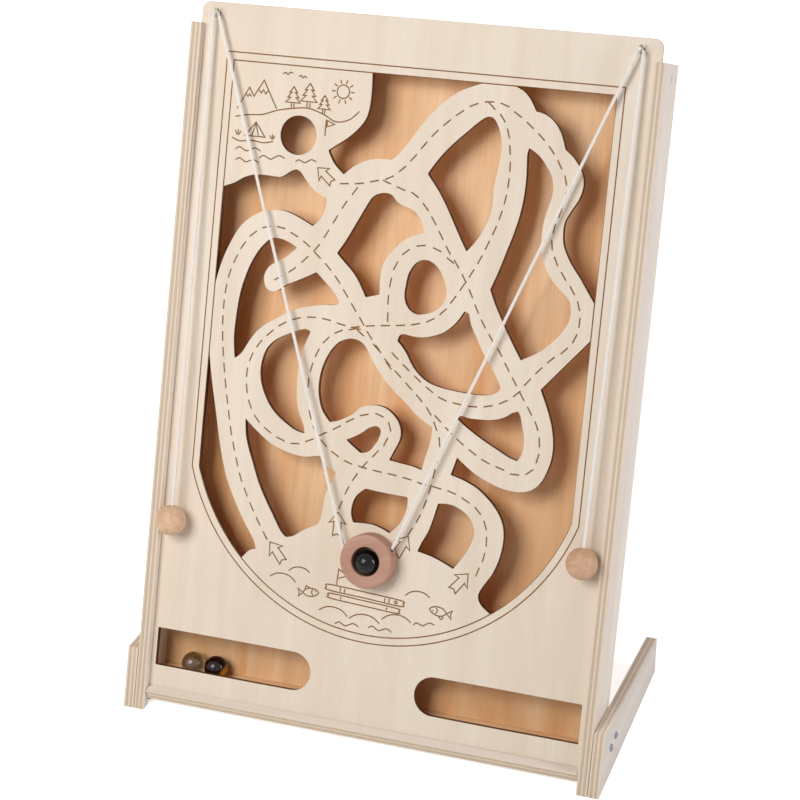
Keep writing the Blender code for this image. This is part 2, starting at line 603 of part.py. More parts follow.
def make_screw_eye(side, name, frame, material):
    """A screw eye: a wire loop whose hole faces sideways, on a pointed shank through the panel."""
    bm = bmesh.new()
    wire = arc((EYE_RADIUS, 0.0), EYE_WIRE, 0.0, math.tau * (EYE_SIDES - 1) / EYE_SIDES,
               EYE_SIDES - 1)
    points = [bm.verts.new((along, 0.0, radius)) for radius, along in wire]
    edges = [bm.edges.new((points[i - 1], points[i])) for i in range(len(points))]
    bmesh.ops.spin(bm, geom=points + edges, cent=(0.0, 0.0, 0.0), axis=(1.0, 0.0, 0.0),
                   dvec=(0.0, 0.0, 0.0), angle=math.tau, steps=BALL_SIDES, use_merge=True)
    loop = mesh_from(bm, name)
    loop.shade_smooth()
    eye = add_object(name, loop, material, frame, (side * EYE_ACROSS, EYE_UP, EYE_OUT))
    start = -EYE_RADIUS
    shank = [(0.0, start), (0.0, -EYE_REACH), (EYE_TIP, -EYE_REACH),
             (EYE_SHANK, EYE_TAPER - EYE_REACH), (EYE_SHANK, start)]
    stem = turned(name + "_shank", shank, Vector((0.0, 0.0, 1.0)), SMALL_SIDES)
    guide = bpy.data.objects.new(name + "_shank", stem)
    guide.parent = frame
    guide.location = eye.location
    guide.hide_render = True
    guide.display_type = "WIRE"
    bpy.context.scene.collection.objects.link(guide)
    union = eye.modifiers.new("shank", "BOOLEAN")
    union.operation = "UNION"
    union.solver = "EXACT"
    union.object = guide
    return eye


EYE_SIDES = 8


def make_tube(name, points, frame, material):
    """A string: a round tube along its points, closed at both ends."""
    curve = bpy.data.curves.new(name, "CURVE")
    curve.dimensions = "3D"
    curve.bevel_depth = STRING_RADIUS
    curve.bevel_resolution = 2
    curve.use_fill_caps = True
    spline = curve.splines.new("POLY")
    spline.points.add(len(points) - 1)
    for target, point in zip(spline.points, points):
        target.co = (*point, 1.0)
    return add_object(name, curve, material, frame)


def evenly(start, end):
    """Points from start to end, about one string step apart."""
    count = max(1, round((end - start).length / STRING_STEP))
    return [start.lerp(end, i / count) for i in range(count + 1)]


def bead_place(side):
    return Vector((side * BEAD_ACROSS, LEFT_BEAD_UP if side < 0 else RIGHT_BEAD_UP, BEAD_OUT))


def socket_direction(side):
    """From the ring's centre to the socket that one string ends in."""
    angle = LEFT_SOCKET_ANGLE if side < 0 else RIGHT_SOCKET_ANGLE
    return Vector((math.cos(angle), math.sin(angle), 0.0))


def ring_place():
    return Vector((RING_ACROSS, RING_UP, RING_MIDDLE))


def string_route(side):
    """The string's turn through its eye, and the straight runs on either side of it."""
    centre = Vector((side * EYE_ACROSS, BEND_UP, EYE_OUT))
    mouth = ring_place() + socket_direction(side) * RING_OUTER
    slant = (mouth - centre).normalized()
    last = math.atan2(abs(slant.x), -slant.y)
    turn = [centre + Vector((side * math.cos(t), math.sin(t), 0.0)) * BEND_RADIUS
            for t in (math.pi * i / BEND_STEPS for i in range(BEND_STEPS + 1))
            if t < math.pi - last]
    turn.append(centre + Vector((-side * math.cos(last), math.sin(last), 0.0)) * BEND_RADIUS)
    down = (bead_place(side) - turn[0]).normalized()
    inward = (mouth - turn[-1]).normalized()
    outer_start = turn[0] + down * GAP
    outer_end = bead_place(side) + down * (BEAD_RADIUS - KNOT_DEPTH - GAP)
    inner_start = turn[-1] + inward * GAP
    inner_end = mouth - inward * (STRING_RADIUS / 2)
    return turn, (outer_start, outer_end), (inner_start, inner_end), down


BEND_STEPS = 14


def make_strings(side, name, frame, material):
    turn, outer, inner, down = string_route(side)
    make_tube(name + "_eye_string", turn, frame, material)
    make_tube(name + "_outer_string", evenly(*outer), frame, material)
    make_tube(name + "_inner_string", evenly(*inner), frame, material)
    return down


def make_bead(side, name, down, frame, wood, string):
    """A pull bead, bored for its string, with a pocket below that hides the knot."""
    start = math.acos(BEAD_BORE / BEAD_RADIUS)
    end = math.acos(KNOT_POCKET / BEAD_RADIUS)
    skin = arc((0.0, 0.0), BEAD_RADIUS, start, -end, BALL_SIDES // 2)
    pocket = -BEAD_RADIUS + KNOT_DEPTH
    profile = skin + [(KNOT_POCKET, pocket), (BEAD_BORE, pocket)]
    axis = -down
    mesh = turned(name + "_pull_bead", profile, axis, BALL_SIDES)
    add_object(name + "_pull_bead", mesh, wood, frame, bead_place(side))
    blob = [(0.0, KNOT_RADIUS * KNOT_FLAT_SHARE), (0.0, -KNOT_RADIUS * KNOT_FLAT_SHARE)]
    rim = arc((0.0, 0.0), 1.0, math.radians(-80.0), math.radians(80.0), ARC_STEPS)
    blob += [(KNOT_RADIUS * x, KNOT_RADIUS * KNOT_FLAT_SHARE * y) for x, y in rim]
    knot = turned(name + "_bead_knot", blob, axis, SMALL_SIDES)
    place = bead_place(side) + down * (-pocket + GAP + KNOT_RADIUS * KNOT_FLAT_SHARE)
    add_object(name + "_bead_knot", knot, string, frame, place)


KNOT_FLAT_SHARE = 0.7


def make_guide_ring(frame, material):
    """The ring that carries the marble, with a socket on each side for its string."""
    half = RING_THICKNESS / 2
    corners = ((RING_OUTER, half, 0.0), (RING_INNER, half, 90.0), (RING_INNER, -half, 180.0),
               (RING_OUTER, -half, 270.0))
    profile = []
    for radius, along, turn in corners:
        inward = -1 if radius == RING_OUTER else 1
        centre = (radius + inward * RING_EDGE, along - math.copysign(RING_EDGE, along))
        begin = math.radians(turn)
        profile += arc(centre, RING_EDGE, begin, begin + math.radians(90.0), RING_EDGE_STEPS)
    mesh = turned("guide_ring", profile, Vector((0.0, 0.0, 1.0)), RING_SIDES)
    ring = add_object("guide_ring", mesh, material, frame, ring_place())
    for side, name in SIDES:
        axis = socket_direction(side)
        profile = [(0.0, -RING_SOCKET_DEPTH), (RING_SOCKET_RADIUS, -RING_SOCKET_DEPTH),
                   (RING_SOCKET_RADIUS, OVERRUN), (0.0, OVERRUN)]
        socket = turned(name + "_socket", profile, axis, SMALL_SIDES, smooth=False)
        cut(ring, socket, name + "_socket", ring_place() + axis * RING_OUTER)
    return ring


RING_EDGE_STEPS = 3
SIDES = ((-1, "left"), (1, "right"))


def make_marble(name, place, frame, material):
    bm = bmesh.new()
    bmesh.ops.create_uvsphere(bm, u_segments=BALL_SIDES, v_segments=BALL_SIDES // 2,
                              radius=MARBLE_RADIUS)
    mesh = mesh_from(bm, name)
    mesh.shade_smooth()
    return add_object(name, mesh, material, frame, place)


def make_marbles(frame, black, clear, amber):
    """One marble lies low in the ring against the panel, and two wait on the bottom board."""
    play = RING_INNER - MARBLE_RADIUS - GAP
    make_marble("ring_marble", (RING_ACROSS, RING_UP - play, MARBLE_RADIUS + GAP), frame, black)
    rest = (MARBLE_RADIUS + GAP) / math.cos(LEAN)
    up = ledge_level(TRAY_MARBLE_DEPTH) + rest
    make_marble("clear_marble", (CLEAR_MARBLE_ACROSS, up, TRAY_MARBLE_DEPTH), frame, clear)
    make_marble("amber_marble", (AMBER_MARBLE_ACROSS, up, TRAY_MARBLE_DEPTH), frame, amber)


def make_frame():
    """The empty that carries the board, set so that the part stands centred on the origin."""
    front = world_from_board(0.0, -SIDE_DROP, SIDE_LIP)
    back = world_from_board(0.0, SIDE_HEIGHT, CASE_BACK)
    frame = bpy.data.objects.new("board_frame", None)
    frame.rotation_euler = (math.radians(90.0) - LEAN, 0.0, 0.0)
    frame.location = (0.0, -(front.y + back.y) / 2, -front.z)
    bpy.context.scene.collection.objects.link(frame)
    return frame


def build():
    for item in list(bpy.data.objects):
        bpy.data.objects.remove(item)
    birch = make_material("birch_ply_panel", (0.82, 0.71, 0.56), 0.6)
    birch_edge = make_material("birch_ply_boards", (0.78, 0.67, 0.54), 0.6)
    back_birch = make_material("birch_ply_back", (0.70, 0.50, 0.32), 0.6)
    bead_wood = make_material("beech_beads", (0.70, 0.47, 0.31), 0.5)
    ring_wood = make_material("beech_ring", (0.60, 0.36, 0.27), 0.5)
    zinc = make_material("zinc_wire", (0.55, 0.55, 0.56), 0.35, 1.0)
    steel = make_material("steel_screws", (0.60, 0.60, 0.62), 0.35, 1.0)
    cotton = make_material("white_cotton_string", (0.88, 0.87, 0.85), 0.8)
    black = make_material("black_glass", (0.01, 0.01, 0.012), 0.05)
    clear = make_material("clear_glass", (0.80, 0.84, 0.84), 0.05)
    amber = make_material("amber_glass", (0.25, 0.08, 0.02), 0.05)

    frame = make_frame()
    make_maze_panel(frame, birch)
    make_back_panel(frame, back_birch)
    make_bottom_board(frame, birch_edge)
    top_board = make_top_board(frame, birch_edge)
    make_guide_ring(frame, ring_wood)
    make_marbles(frame, black, clear, amber)
    for side, name in SIDES:
        board = make_side_board(side, name + "_side_board", frame, birch_edge)
        foot = make_foot(side, name + "_foot", frame, birch_edge)
        make_foot_screws(side, name, (foot, board), frame, steel)
        make_staples(side, name, (board, top_board), frame, steel)
        make_screw_eye(side, name + "_screw_eye", frame, zinc)
        down = make_strings(side, name, frame, cotton)
        make_bead(side, name, down, frame, bead_wood, cotton)


build()
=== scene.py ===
# %% [markdown]
# # A leaning marble maze board in birch plywood
# A player pulls two beads on strings. The strings run over screw eyes and lift a wooden ring, and
# the ring carries a glass marble up an engraved road, past holes that it can fall through. This
# lesson dresses the bare solids of that board: it cuts the engraving, gives each plywood sheet its
# plies, turns the beads and the ring, and braids the strings.

# %% Load the solids
import math

import bmesh
import bpy
from mathutils import Matrix, Vector
from mathutils.geometry import delaunay_2d_cdt, interpolate_bezier


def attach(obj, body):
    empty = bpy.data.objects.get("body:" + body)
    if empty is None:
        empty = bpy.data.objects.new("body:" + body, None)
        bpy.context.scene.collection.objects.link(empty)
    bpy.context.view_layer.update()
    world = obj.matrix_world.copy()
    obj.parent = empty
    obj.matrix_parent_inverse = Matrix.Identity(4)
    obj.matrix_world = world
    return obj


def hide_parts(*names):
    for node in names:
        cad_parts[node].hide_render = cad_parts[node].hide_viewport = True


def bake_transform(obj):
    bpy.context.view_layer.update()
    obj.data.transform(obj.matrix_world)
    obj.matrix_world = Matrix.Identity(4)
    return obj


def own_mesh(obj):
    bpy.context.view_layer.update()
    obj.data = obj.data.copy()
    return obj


MM = 0.001
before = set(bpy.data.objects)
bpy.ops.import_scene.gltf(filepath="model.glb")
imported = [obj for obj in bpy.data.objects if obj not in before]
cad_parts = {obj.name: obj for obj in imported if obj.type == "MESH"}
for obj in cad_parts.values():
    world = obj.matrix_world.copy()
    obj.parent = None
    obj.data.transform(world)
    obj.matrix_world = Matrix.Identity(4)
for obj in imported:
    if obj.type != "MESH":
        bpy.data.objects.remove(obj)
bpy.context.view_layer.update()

# %% [markdown]
# The board leans back by 27.5 degrees, so nearly every piece is easier to place in the board's own
# frame: u runs to the right, v runs up along the panel, and w comes out of the panel's front face.
# One matrix takes those millimetres to the world, and all later cells use it.

# %% The board's own frame
LEAN = math.radians(27.5)
BOARD_PLACE = Vector((0.0, -0.1058003, 0.0120074))
BOARD_TURN = Matrix.Rotation(math.radians(90.0) - LEAN, 3, "X")
ACROSS, UP, OUT = (BOARD_TURN @ Vector(axis) for axis in ((1, 0, 0), (0, 1, 0), (0, 0, 1)))


def on_board(u, v, w=0.0):
    """World place of a point given in millimetres in the board's frame."""
    return BOARD_PLACE + BOARD_TURN @ (Vector((u, v, w)) * MM)


def along_board(u, v, w=0.0):
    """World direction of a direction given in the board's frame."""
    return (BOARD_TURN @ Vector((u, v, w))).normalized()


print("up the panel:", [round(x, 4) for x in UP], "out of it:", [round(x, 4) for x in OUT])

# %% [markdown]
# The camera stands to the right of the board and a little above it, and is rolled by about five
# degrees. A long lens from far away keeps the panel's sides nearly parallel.

# %% Camera
EYE_POINT = (518.13, 401.90, 1406.19)
VIEW_RIGHT = (0.9314, 0.0954, -0.3512)
VIEW_BACK = (0.3387, 0.1254, 0.9325)
FOCAL_SHARE = 2386.0 / 800.0

camera_data = bpy.data.cameras.new("camera")
camera_data.sensor_width = 36.0
camera_data.lens = FOCAL_SHARE * camera_data.sensor_width
camera_data.clip_end = 20.0
camera = bpy.data.objects.new("camera", camera_data)
bpy.context.scene.collection.objects.link(camera)
bpy.context.scene.camera = camera
back = along_board(*VIEW_BACK)
right = (along_board(*VIEW_RIGHT) - back * along_board(*VIEW_RIGHT).dot(back)).normalized()
camera_turn = Matrix((right, back.cross(right), back)).transposed()
camera.matrix_world = Matrix.Translation(on_board(*EYE_POINT)) @ camera_turn.to_4x4()
print("lens:", round(camera_data.lens, 1), "mm")

# %% [markdown]
# Colours are written as sRGB hex, the way a colour picker shows them, and Blender's sockets want
# linear light, so one function turns them. One more function adds a node, sets its options and
# fills or links its inputs. Every material and every Geometry Nodes tree below is built with it.
# A node given as an input is linked by its first output in use, so a tree reads as plain steps.


# %% Colour and node helpers
def colour(text):
    """Linear RGBA of an sRGB hex colour."""
    parts = [int(text[i:i + 2], 16) / 255 for i in (1, 3, 5)]
    return [x / 12.92 if x <= 0.04045 else ((x + 0.055) / 1.055) ** 2.4 for x in parts] + [1.0]


def node(tree, kind, inputs=None, **settings):
    """Adds a node with its settings, and fills its inputs or links them to sockets or nodes."""
    made = tree.nodes.new(kind)
    for key, value in settings.items():
        setattr(made, key, value)
    for key, value in (inputs or {}).items():
        if isinstance(value, bpy.types.Node):
            value = next(socket for socket in value.outputs if socket.enabled)
        if isinstance(value, bpy.types.NodeSocket):
            tree.links.new(value, made.inputs[key])
        else:
            made.inputs[key].default_value = value
    return made


def new_material(name, roughness, **values):
    """A material with only a Principled BSDF; returns it with its tree and shader."""
    material = bpy.data.materials.new(name)
    material.use_nodes = True
    shader = material.node_tree.nodes["Principled BSDF"]
    shader.inputs["Roughness"].default_value = roughness
    for key, value in values.items():
        shader.inputs[key.replace("_", " ")].default_value = value
    return material, material.node_tree, shader


# %% [markdown]
# The studio is plain: a white floor, a pale world and four lamps. The key is large and soft, and
# throws the short shadows inside the cut-outs. A small one puts a sparkle on glass and steel, a
# strip lights the right side, and a wide one lights the back. The white of the background comes
# from what the camera sees of the floor and the world, not from more light on the board.


# %% Floor, world and lamps
def light_path_share(tree):
    """1 for rays that come from the camera or through glass or off gloss, and 0 for the rest."""
    path = node(tree, "ShaderNodeLightPath").outputs
    seen_or_gloss = node(tree, "ShaderNodeMath",
                         {0: path["Is Camera Ray"], 1: path["Is Glossy Ray"]},
                         operation="MAXIMUM")
    return node(tree, "ShaderNodeMath", {0: seen_or_gloss, 1: path["Is Transmission Ray"]},
                operation="MAXIMUM")


world = bpy.data.worlds.new("studio")
bpy.context.scene.world = world
world.use_nodes = True
tree = world.node_tree
tree.nodes.clear()
seen = node(tree, "ShaderNodeBackground", {"Color": colour("#FFFFFF"), "Strength": 1.0})
lit = node(tree, "ShaderNodeBackground", {"Color": colour("#F4F6FA"), "Strength": 0.14})
both = node(tree, "ShaderNodeMixShader", {0: light_path_share(tree), 1: lit, 2: seen})
node(tree, "ShaderNodeOutputWorld", {"Surface": both})

floor_material, tree, shader = new_material("white_paper_sweep", 0.9)
shader.inputs["Base Color"].default_value = colour("#F5F4F2")
spot = node(tree, "ShaderNodeTexCoord").outputs["Object"]
away = node(tree, "ShaderNodeVectorMath", {0: spot}, operation="LENGTH")
lift = node(tree, "ShaderNodeMapRange", {0: away, 1: 0.4, 2: 2.2, 3: 0.62, 4: 1.0})
strength = node(tree, "ShaderNodeMath", {0: light_path_share(tree), 1: lift},
                operation="MULTIPLY")
glow = node(tree, "ShaderNodeEmission", {"Color": colour("#FFFFFF"), "Strength": strength})
summed = node(tree, "ShaderNodeAddShader", {0: shader, 1: glow})
tree.links.new(summed.outputs[0], tree.nodes["Material Output"].inputs["Surface"])

FLOOR_HALF, FLOOR_DROP = 6.0, 0.0004
bm = bmesh.new()
bmesh.ops.create_grid(bm, x_segments=1, y_segments=1, size=FLOOR_HALF)
floor_mesh = bpy.data.meshes.new("floor")
bm.to_mesh(floor_mesh)
bm.free()
floor_mesh.materials.append(floor_material)
floor = bpy.data.objects.new("floor", floor_mesh)
floor_mesh.transform(Matrix.Translation((0.0, 0.0, -FLOOR_DROP)))
bpy.context.scene.collection.objects.link(floor)


def soft_lamp(name, place, size, energy, tint):
    """A rectangular area lamp, turned to the middle of the board."""
    data = bpy.data.lights.new(name, "AREA")
    data.shape = "RECTANGLE"
    data.size, data.size_y = size
    data.energy = energy
    data.color = colour(tint)[:3]
    lamp = bpy.data.objects.new(name, data)
    lamp.location = place
    lamp.rotation_euler = (MIDDLE - place).to_track_quat("-Z", "Y").to_euler()
    bpy.context.scene.collection.objects.link(lamp)


MIDDLE = on_board(0.0, 220.0)
KEY_PLACE = MIDDLE + along_board(-0.33, 0.26, 0.91) * 1.45
LAMPS = {
    "key": (KEY_PLACE, (0.78, 0.78), 14.4, "#FFFAF4"),
    "sparkle": (KEY_PLACE + Vector((0.3, 0.0, 0.25)), (0.15, 0.15), 1.6, "#FFFFFF"),
    "strip": (MIDDLE + along_board(0.96, 0.24, 0.14) * 1.9, (0.35, 0.9), 14.6, "#FAFAFF"),
    "rear": (MIDDLE + Vector((0.3, 1.5, 1.0)), (1.2, 0.8), 9.0, "#FAFAFF"),
}
for name, lamp in LAMPS.items():
    soft_lamp(name, *lamp)
print("lamps:", list(LAMPS))
bpy.context.scene.view_settings.view_transform = "Standard"

# %% [markdown]
# ## Birch plywood
# Every board is one sheet of birch ply. Its face is a rotary-cut veneer: cream, with faint wide
# bands, fine streaks along the grain and short darker pores. Its edge shows the plies, which are
# pale where their grain runs along the edge and darker and speckled where the edge cuts across
# it. One function makes both looks from the depth below the sheet's face, so a bevelled or bored
# sheet shows the right ply everywhere. Depth is measured in the sheet's own frame, which a
# Mapping node finds from Object coordinates. Streaks are about 0.8 mm wide and 30 mm long, and
# pores 0.3 mm wide. The boards, which are of a plainer grade than the panel, also have a few pin
# knots. The knots lie 30 mm apart through the thickness, so a face cuts only a few of them.


# %% Sheet coordinates and veneer
def sheet_place(tree, origin, along, outward):
    """Millimetres in a sheet's own frame: x across the grain, y along it, z into the sheet."""
    depth = -Vector(outward)
    side = Vector(along).cross(depth)
    turn = Matrix((side, along, depth)).transposed().to_euler()
    where = node(tree, "ShaderNodeTexCoord").outputs["Object"]
    inputs = {"Vector": where, "Location": origin, "Rotation": turn, "Scale": (MM, MM, MM)}
    return node(tree, "ShaderNodeMapping", inputs, vector_type="TEXTURE")


def streaks(tree, place, across, along, seed, low, high, detail=2.0, bend=0.0):
    """Noise drawn out along the grain, as 0 to 1 between two levels; sizes in millimetres."""
    scaled = node(tree, "ShaderNodeVectorMath",
                  {0: place, 1: (1 / across, 1 / along, 1 / across)}, operation="MULTIPLY")
    noise = node(tree, "ShaderNodeTexNoise",
                 {"Vector": scaled, "W": seed, "Scale": 1.0, "Detail": detail, "Distortion": bend},
                 noise_dimensions="4D")
    return node(tree, "ShaderNodeMapRange", {0: noise, 1: low, 2: high})


def laid_over(tree, shade, pattern, share, tone):
    """A shade with a tone laid over it where a pattern is, at a share of its strength."""
    weight = node(tree, "ShaderNodeMath", {0: pattern, 1: share}, operation="MULTIPLY")
    return node(tree, "ShaderNodeMix", {0: weight, 6: shade, 7: colour(tone)}, data_type="RGBA")


def veneer(tree, place, light, middle, dark, seed):
    """The colour and the height of a rotary-cut face."""
    bands = streaks(tree, place, 26.0, 240.0, seed, 0.35, 0.68, bend=1.2)
    flames = streaks(tree, place, 5.0, 60.0, seed + 11.0, 0.5, 0.8, 3.0, 0.8)
    fine = streaks(tree, place, 0.8, 30.0, seed + 3.0, 0.35, 0.75, 3.0)
    pores = streaks(tree, place, 0.3, 3.0, seed + 7.0, 0.66, 0.74, 1.0)
    shade = laid_over(tree, colour(light), bands, 1.0, middle)
    shade = laid_over(tree, shade, flames, 0.40, middle)
    shade = laid_over(tree, shade, fine, 0.15, dark)
    shade = laid_over(tree, shade, pores, 0.24, dark)
    height = node(tree, "ShaderNodeMath", {0: fine, 1: -0.5, 2: 1.0}, operation="MULTIPLY_ADD")
    return shade, node(tree, "ShaderNodeMath", {0: height, 1: pores}, operation="SUBTRACT")


def ply_layers(tree, place, depth, thickness, plies, seed):
    """The colour of a sheet's edge, and how its cut end grain rises."""
    waver = streaks(tree, place, 14.0, 14.0, seed + 13.0, 0.2, 0.8)
    wavy = node(tree, "ShaderNodeMath", {0: waver, 1: 0.18, 2: depth}, operation="MULTIPLY_ADD")
    layer = node(tree, "ShaderNodeMath",
                 {0: wavy, 1: plies / thickness, 2: -0.09 * plies / thickness},
                 operation="MULTIPLY_ADD")
    pair = node(tree, "ShaderNodeMath", {0: layer, 1: 0.5}, operation="MULTIPLY")
    into_pair = node(tree, "ShaderNodeMath", {0: pair}, operation="FRACT")
    crossed = node(tree, "ShaderNodeMath", {0: into_pair, 1: 0.5}, operation="GREATER_THAN")
    to_glue = node(tree, "ShaderNodeMath", {0: layer, 1: 0.5}, operation="PINGPONG")
    glue = node(tree, "ShaderNodeMath", {0: to_glue, 1: 0.055}, operation="LESS_THAN")
    specks = streaks(tree, place, 0.5, 0.5, seed + 17.0, 0.35, 0.70, 1.0)
    long_ply = laid_over(tree, colour("#E4D6C4"), specks, 0.15, "#D5C2A9")
    cross_ply = laid_over(tree, colour("#D9C6B0"), specks, 1.0, "#BEA58C")
    edge = node(tree, "ShaderNodeMix", {0: crossed, 6: long_ply, 7: cross_ply}, data_type="RGBA")
    edge = laid_over(tree, edge, glue, 0.55, "#A0805E")
    rise = node(tree, "ShaderNodeMath", {0: specks, 1: -0.6, 2: 1.0}, operation="MULTIPLY_ADD")
    return edge, rise


def ply_material(name, origin, along, outward, thickness, plies, seed, light, middle, dark,
                 roughness=0.62, knot_radius=0.0):
    """Birch ply of a given thickness, whose first face lies at origin."""
    material, tree, shader = new_material(name, roughness)
    place = sheet_place(tree, origin, along, outward)
    depth = node(tree, "ShaderNodeSeparateXYZ", {0: place}).outputs[2]
    face_colour, face_rise = veneer(tree, place, light, middle, dark, seed)
    edge_colour, edge_rise = ply_layers(tree, place, depth, thickness, plies, seed)
    inside = node(tree, "ShaderNodeMath", {0: depth, 1: thickness / 2, 2: thickness / 2 - 0.12},
                  operation="COMPARE")
    shade = node(tree, "ShaderNodeMix", {0: inside, 6: face_colour, 7: edge_colour},
                 data_type="RGBA")
    if knot_radius:
        nearest = node(tree, "ShaderNodeTexVoronoi", {"Vector": place, "Scale": 1 / KNOT_SPACING})
        knot = node(tree, "ShaderNodeMapRange",
                    {0: nearest, 1: knot_radius / KNOT_SPACING,
                     2: 0.4 * knot_radius / KNOT_SPACING})
        shade = laid_over(tree, shade, knot, 0.85, "#7A4E2C")
    tree.links.new(shade.outputs[2], shader.inputs["Base Color"])
    rise = node(tree, "ShaderNodeMix", {0: inside, 2: face_rise, 3: edge_rise})
    bump = node(tree, "ShaderNodeBump", {"Strength": 0.25, "Distance": 0.00008, "Height": rise})
    tree.links.new(bump.outputs[0], shader.inputs["Normal"])
    return material


KNOT_SPACING = 30.0
panel_ply = ply_material("birch_ply_panel", on_board(0, 0), UP, OUT, 4.0, 3, 1.0,
                         "#EDE1D3", "#E4D6C4", "#CBB393")
print("panel plies: 3 in 4 mm")

# %% [markdown]
# A laser cuts and engraves this board. Where it cuts through, it leaves a wall charred nearly
# black-brown, a little glossy from the resin. Where it engraves, it burns a shallow brown line.
# Both get uneven burns, in blotches of a lighter and a darker tone. The panel's
# inner face is the redder, unsorted veneer, which warms the light in the space behind it.

# %% Laser-burnt finishes
burnt_edge, tree, shader = new_material("charred_laser_cut", 0.55)
place = sheet_place(tree, on_board(0, 0), UP, OUT)
char = streaks(tree, place, 1.4, 1.4, 2.0, 0.3, 0.75, 3.0)
rays = streaks(tree, place, 0.5, 0.5, 5.0, 0.0, 1.0, 1.0)
charred = laid_over(tree, colour("#3A1D0C"), char, 1.0, "#6B3A1A")
charred = laid_over(tree, charred, rays, 0.3, "#241006")
tree.links.new(charred.outputs[2], shader.inputs["Base Color"])

engraved, tree, shader = new_material("engraved_birch", 0.75)
place = sheet_place(tree, on_board(0, 0), UP, OUT)
burn = streaks(tree, place, 1.1, 3.0, 3.0, 0.3, 0.7, 3.0)
burnt = laid_over(tree, colour("#70491C"), burn, 1.0, "#9C703A")
tree.links.new(burnt.outputs[2], shader.inputs["Base Color"])

WARM_TONES = ("#F8D4A9", "#E5B07A", "#A96E35")
inner_veneer = ply_material("warm_birch_inner_veneer", on_board(0, 0), UP, OUT, 4.0, 3, 41.0,
                            *WARM_TONES)
print("laser finishes:", burnt_edge.name, engraved.name)

# %% [markdown]
# ## The maze panel
# The panel is one sheet with 21 cut-outs and two windows, and engraving covers it. The bare solid
# holds the cut-outs as short straight steps, so their outlines are read from it, kept sharp at
# the corners and smoothed between them. The engraved strokes are drawn as narrow closed outlines
# on the same plane. A constrained triangulation then divides the plane along all of these lines
# at once, and each triangle becomes top face, groove floor or open hole. Crossing strokes need no
# care then, which a Boolean for each stroke would.


# %% Read the cut-outs from the solid
def merged_copy(name):
    """A bmesh of a solid, with its loose triangles joined."""
    bm = bmesh.new()
    bm.from_mesh(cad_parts[name].data)
    bmesh.ops.remove_doubles(bm, verts=bm.verts, dist=0.000002)
    return bm


def face_loops(bm, outward):
    """The closed edge loops around the flat face that looks outward, as lists of points."""
    bm.normal_update()
    front = {face for face in bm.faces if face.normal.dot(outward) > 0.999}
    rim = {edge for edge in bm.edges if len(set(edge.link_faces) & front) == 1}
    following = {}
    for edge in rim:
        loop = next(loop for loop in edge.link_loops if loop.face in front)
        following[loop.vert] = loop.link_loop_next.vert
    loops = []
    while following:
        start = next(iter(following))
        loop, vert = [start], following.pop(start)
        while vert != start:
            loop.append(vert)
            vert = following.pop(vert)
        loops.append([vert.co.copy() for vert in loop])
    return loops


def flat(point):
    """A world point as (u, v) in millimetres."""
    local = BOARD_TURN.transposed() @ (Vector(point) - BOARD_PLACE)
    return Vector((local.x, local.y)) / MM


def turn_at(points, i):
    before = points[i] - points[i - 1]
    after = points[(i + 1) % len(points)] - points[i]
    return abs(math.degrees(before.angle_signed(after, 0.0)))


def smooth_loop(points, corner=33.0, steps=4, rounding=0.7):
    """A finer closed outline: curved through its points, with small round corners."""
    count = len(points)
    corners = [turn_at(points, i) > corner for i in range(count)]
    outline = []
    for i in range(count):
        a, b = points[i], points[(i + 1) % count]
        span = (b - a).length
        before, after = points[i - 1], points[(i + 2) % count]
        start = (b - a) if corners[i] else (b - before)
        end = (b - a) if corners[(i + 1) % count] else (after - a)
        if corners[i]:
            previous = (a - before).length
            cut = min(rounding, span * 0.4, previous * 0.4)
            first = a + (before - a).normalized() * cut
            last = a + (b - a).normalized() * cut
            outline += [first, first * 0.25 + a * 0.5 + last * 0.25, last]
        else:
            outline.append(a.copy())
        pieces = max(1, min(steps, round(span / 0.8)))
        handle_a = a + start.normalized() * span / 3
        handle_b = b - end.normalized() * span / 3
        curve = interpolate_bezier(a, handle_a, handle_b, b, pieces + 1)[1:-1]
        if corners[i]:
            curve = [p for p in curve if (Vector(p) - a).length > rounding * 1.2]
        if corners[(i + 1) % count]:
            curve = [p for p in curve if (Vector(p) - b).length > rounding * 1.2]
        outline += [Vector(p) for p in curve]
    return outline


bm = merged_copy("maze_panel")
panel_loops = [[flat(point) for point in loop] for loop in face_loops(bm, OUT)]
bm.free()
panel_loops.sort(key=lambda loop: -max(p.x for p in loop) + min(p.x for p in loop))
panel_rim = panel_loops[0]
cut_outs = [smooth_loop(loop) for loop in panel_loops[1:]]
print("cut-outs:", len(cut_outs), "points:", sum(len(loop) for loop in cut_outs))

# %% [markdown]
# The road's middle line is dashed, as on a map. Its runs are given as shares of the engraved
# field: the first number is a share of half its width and the second of its height. The dashes
# themselves repeat along a path, which is what Geometry Nodes are for: the tree resamples each
# run at the dash pitch and sets one small rounded plate at each point, turned along the run.

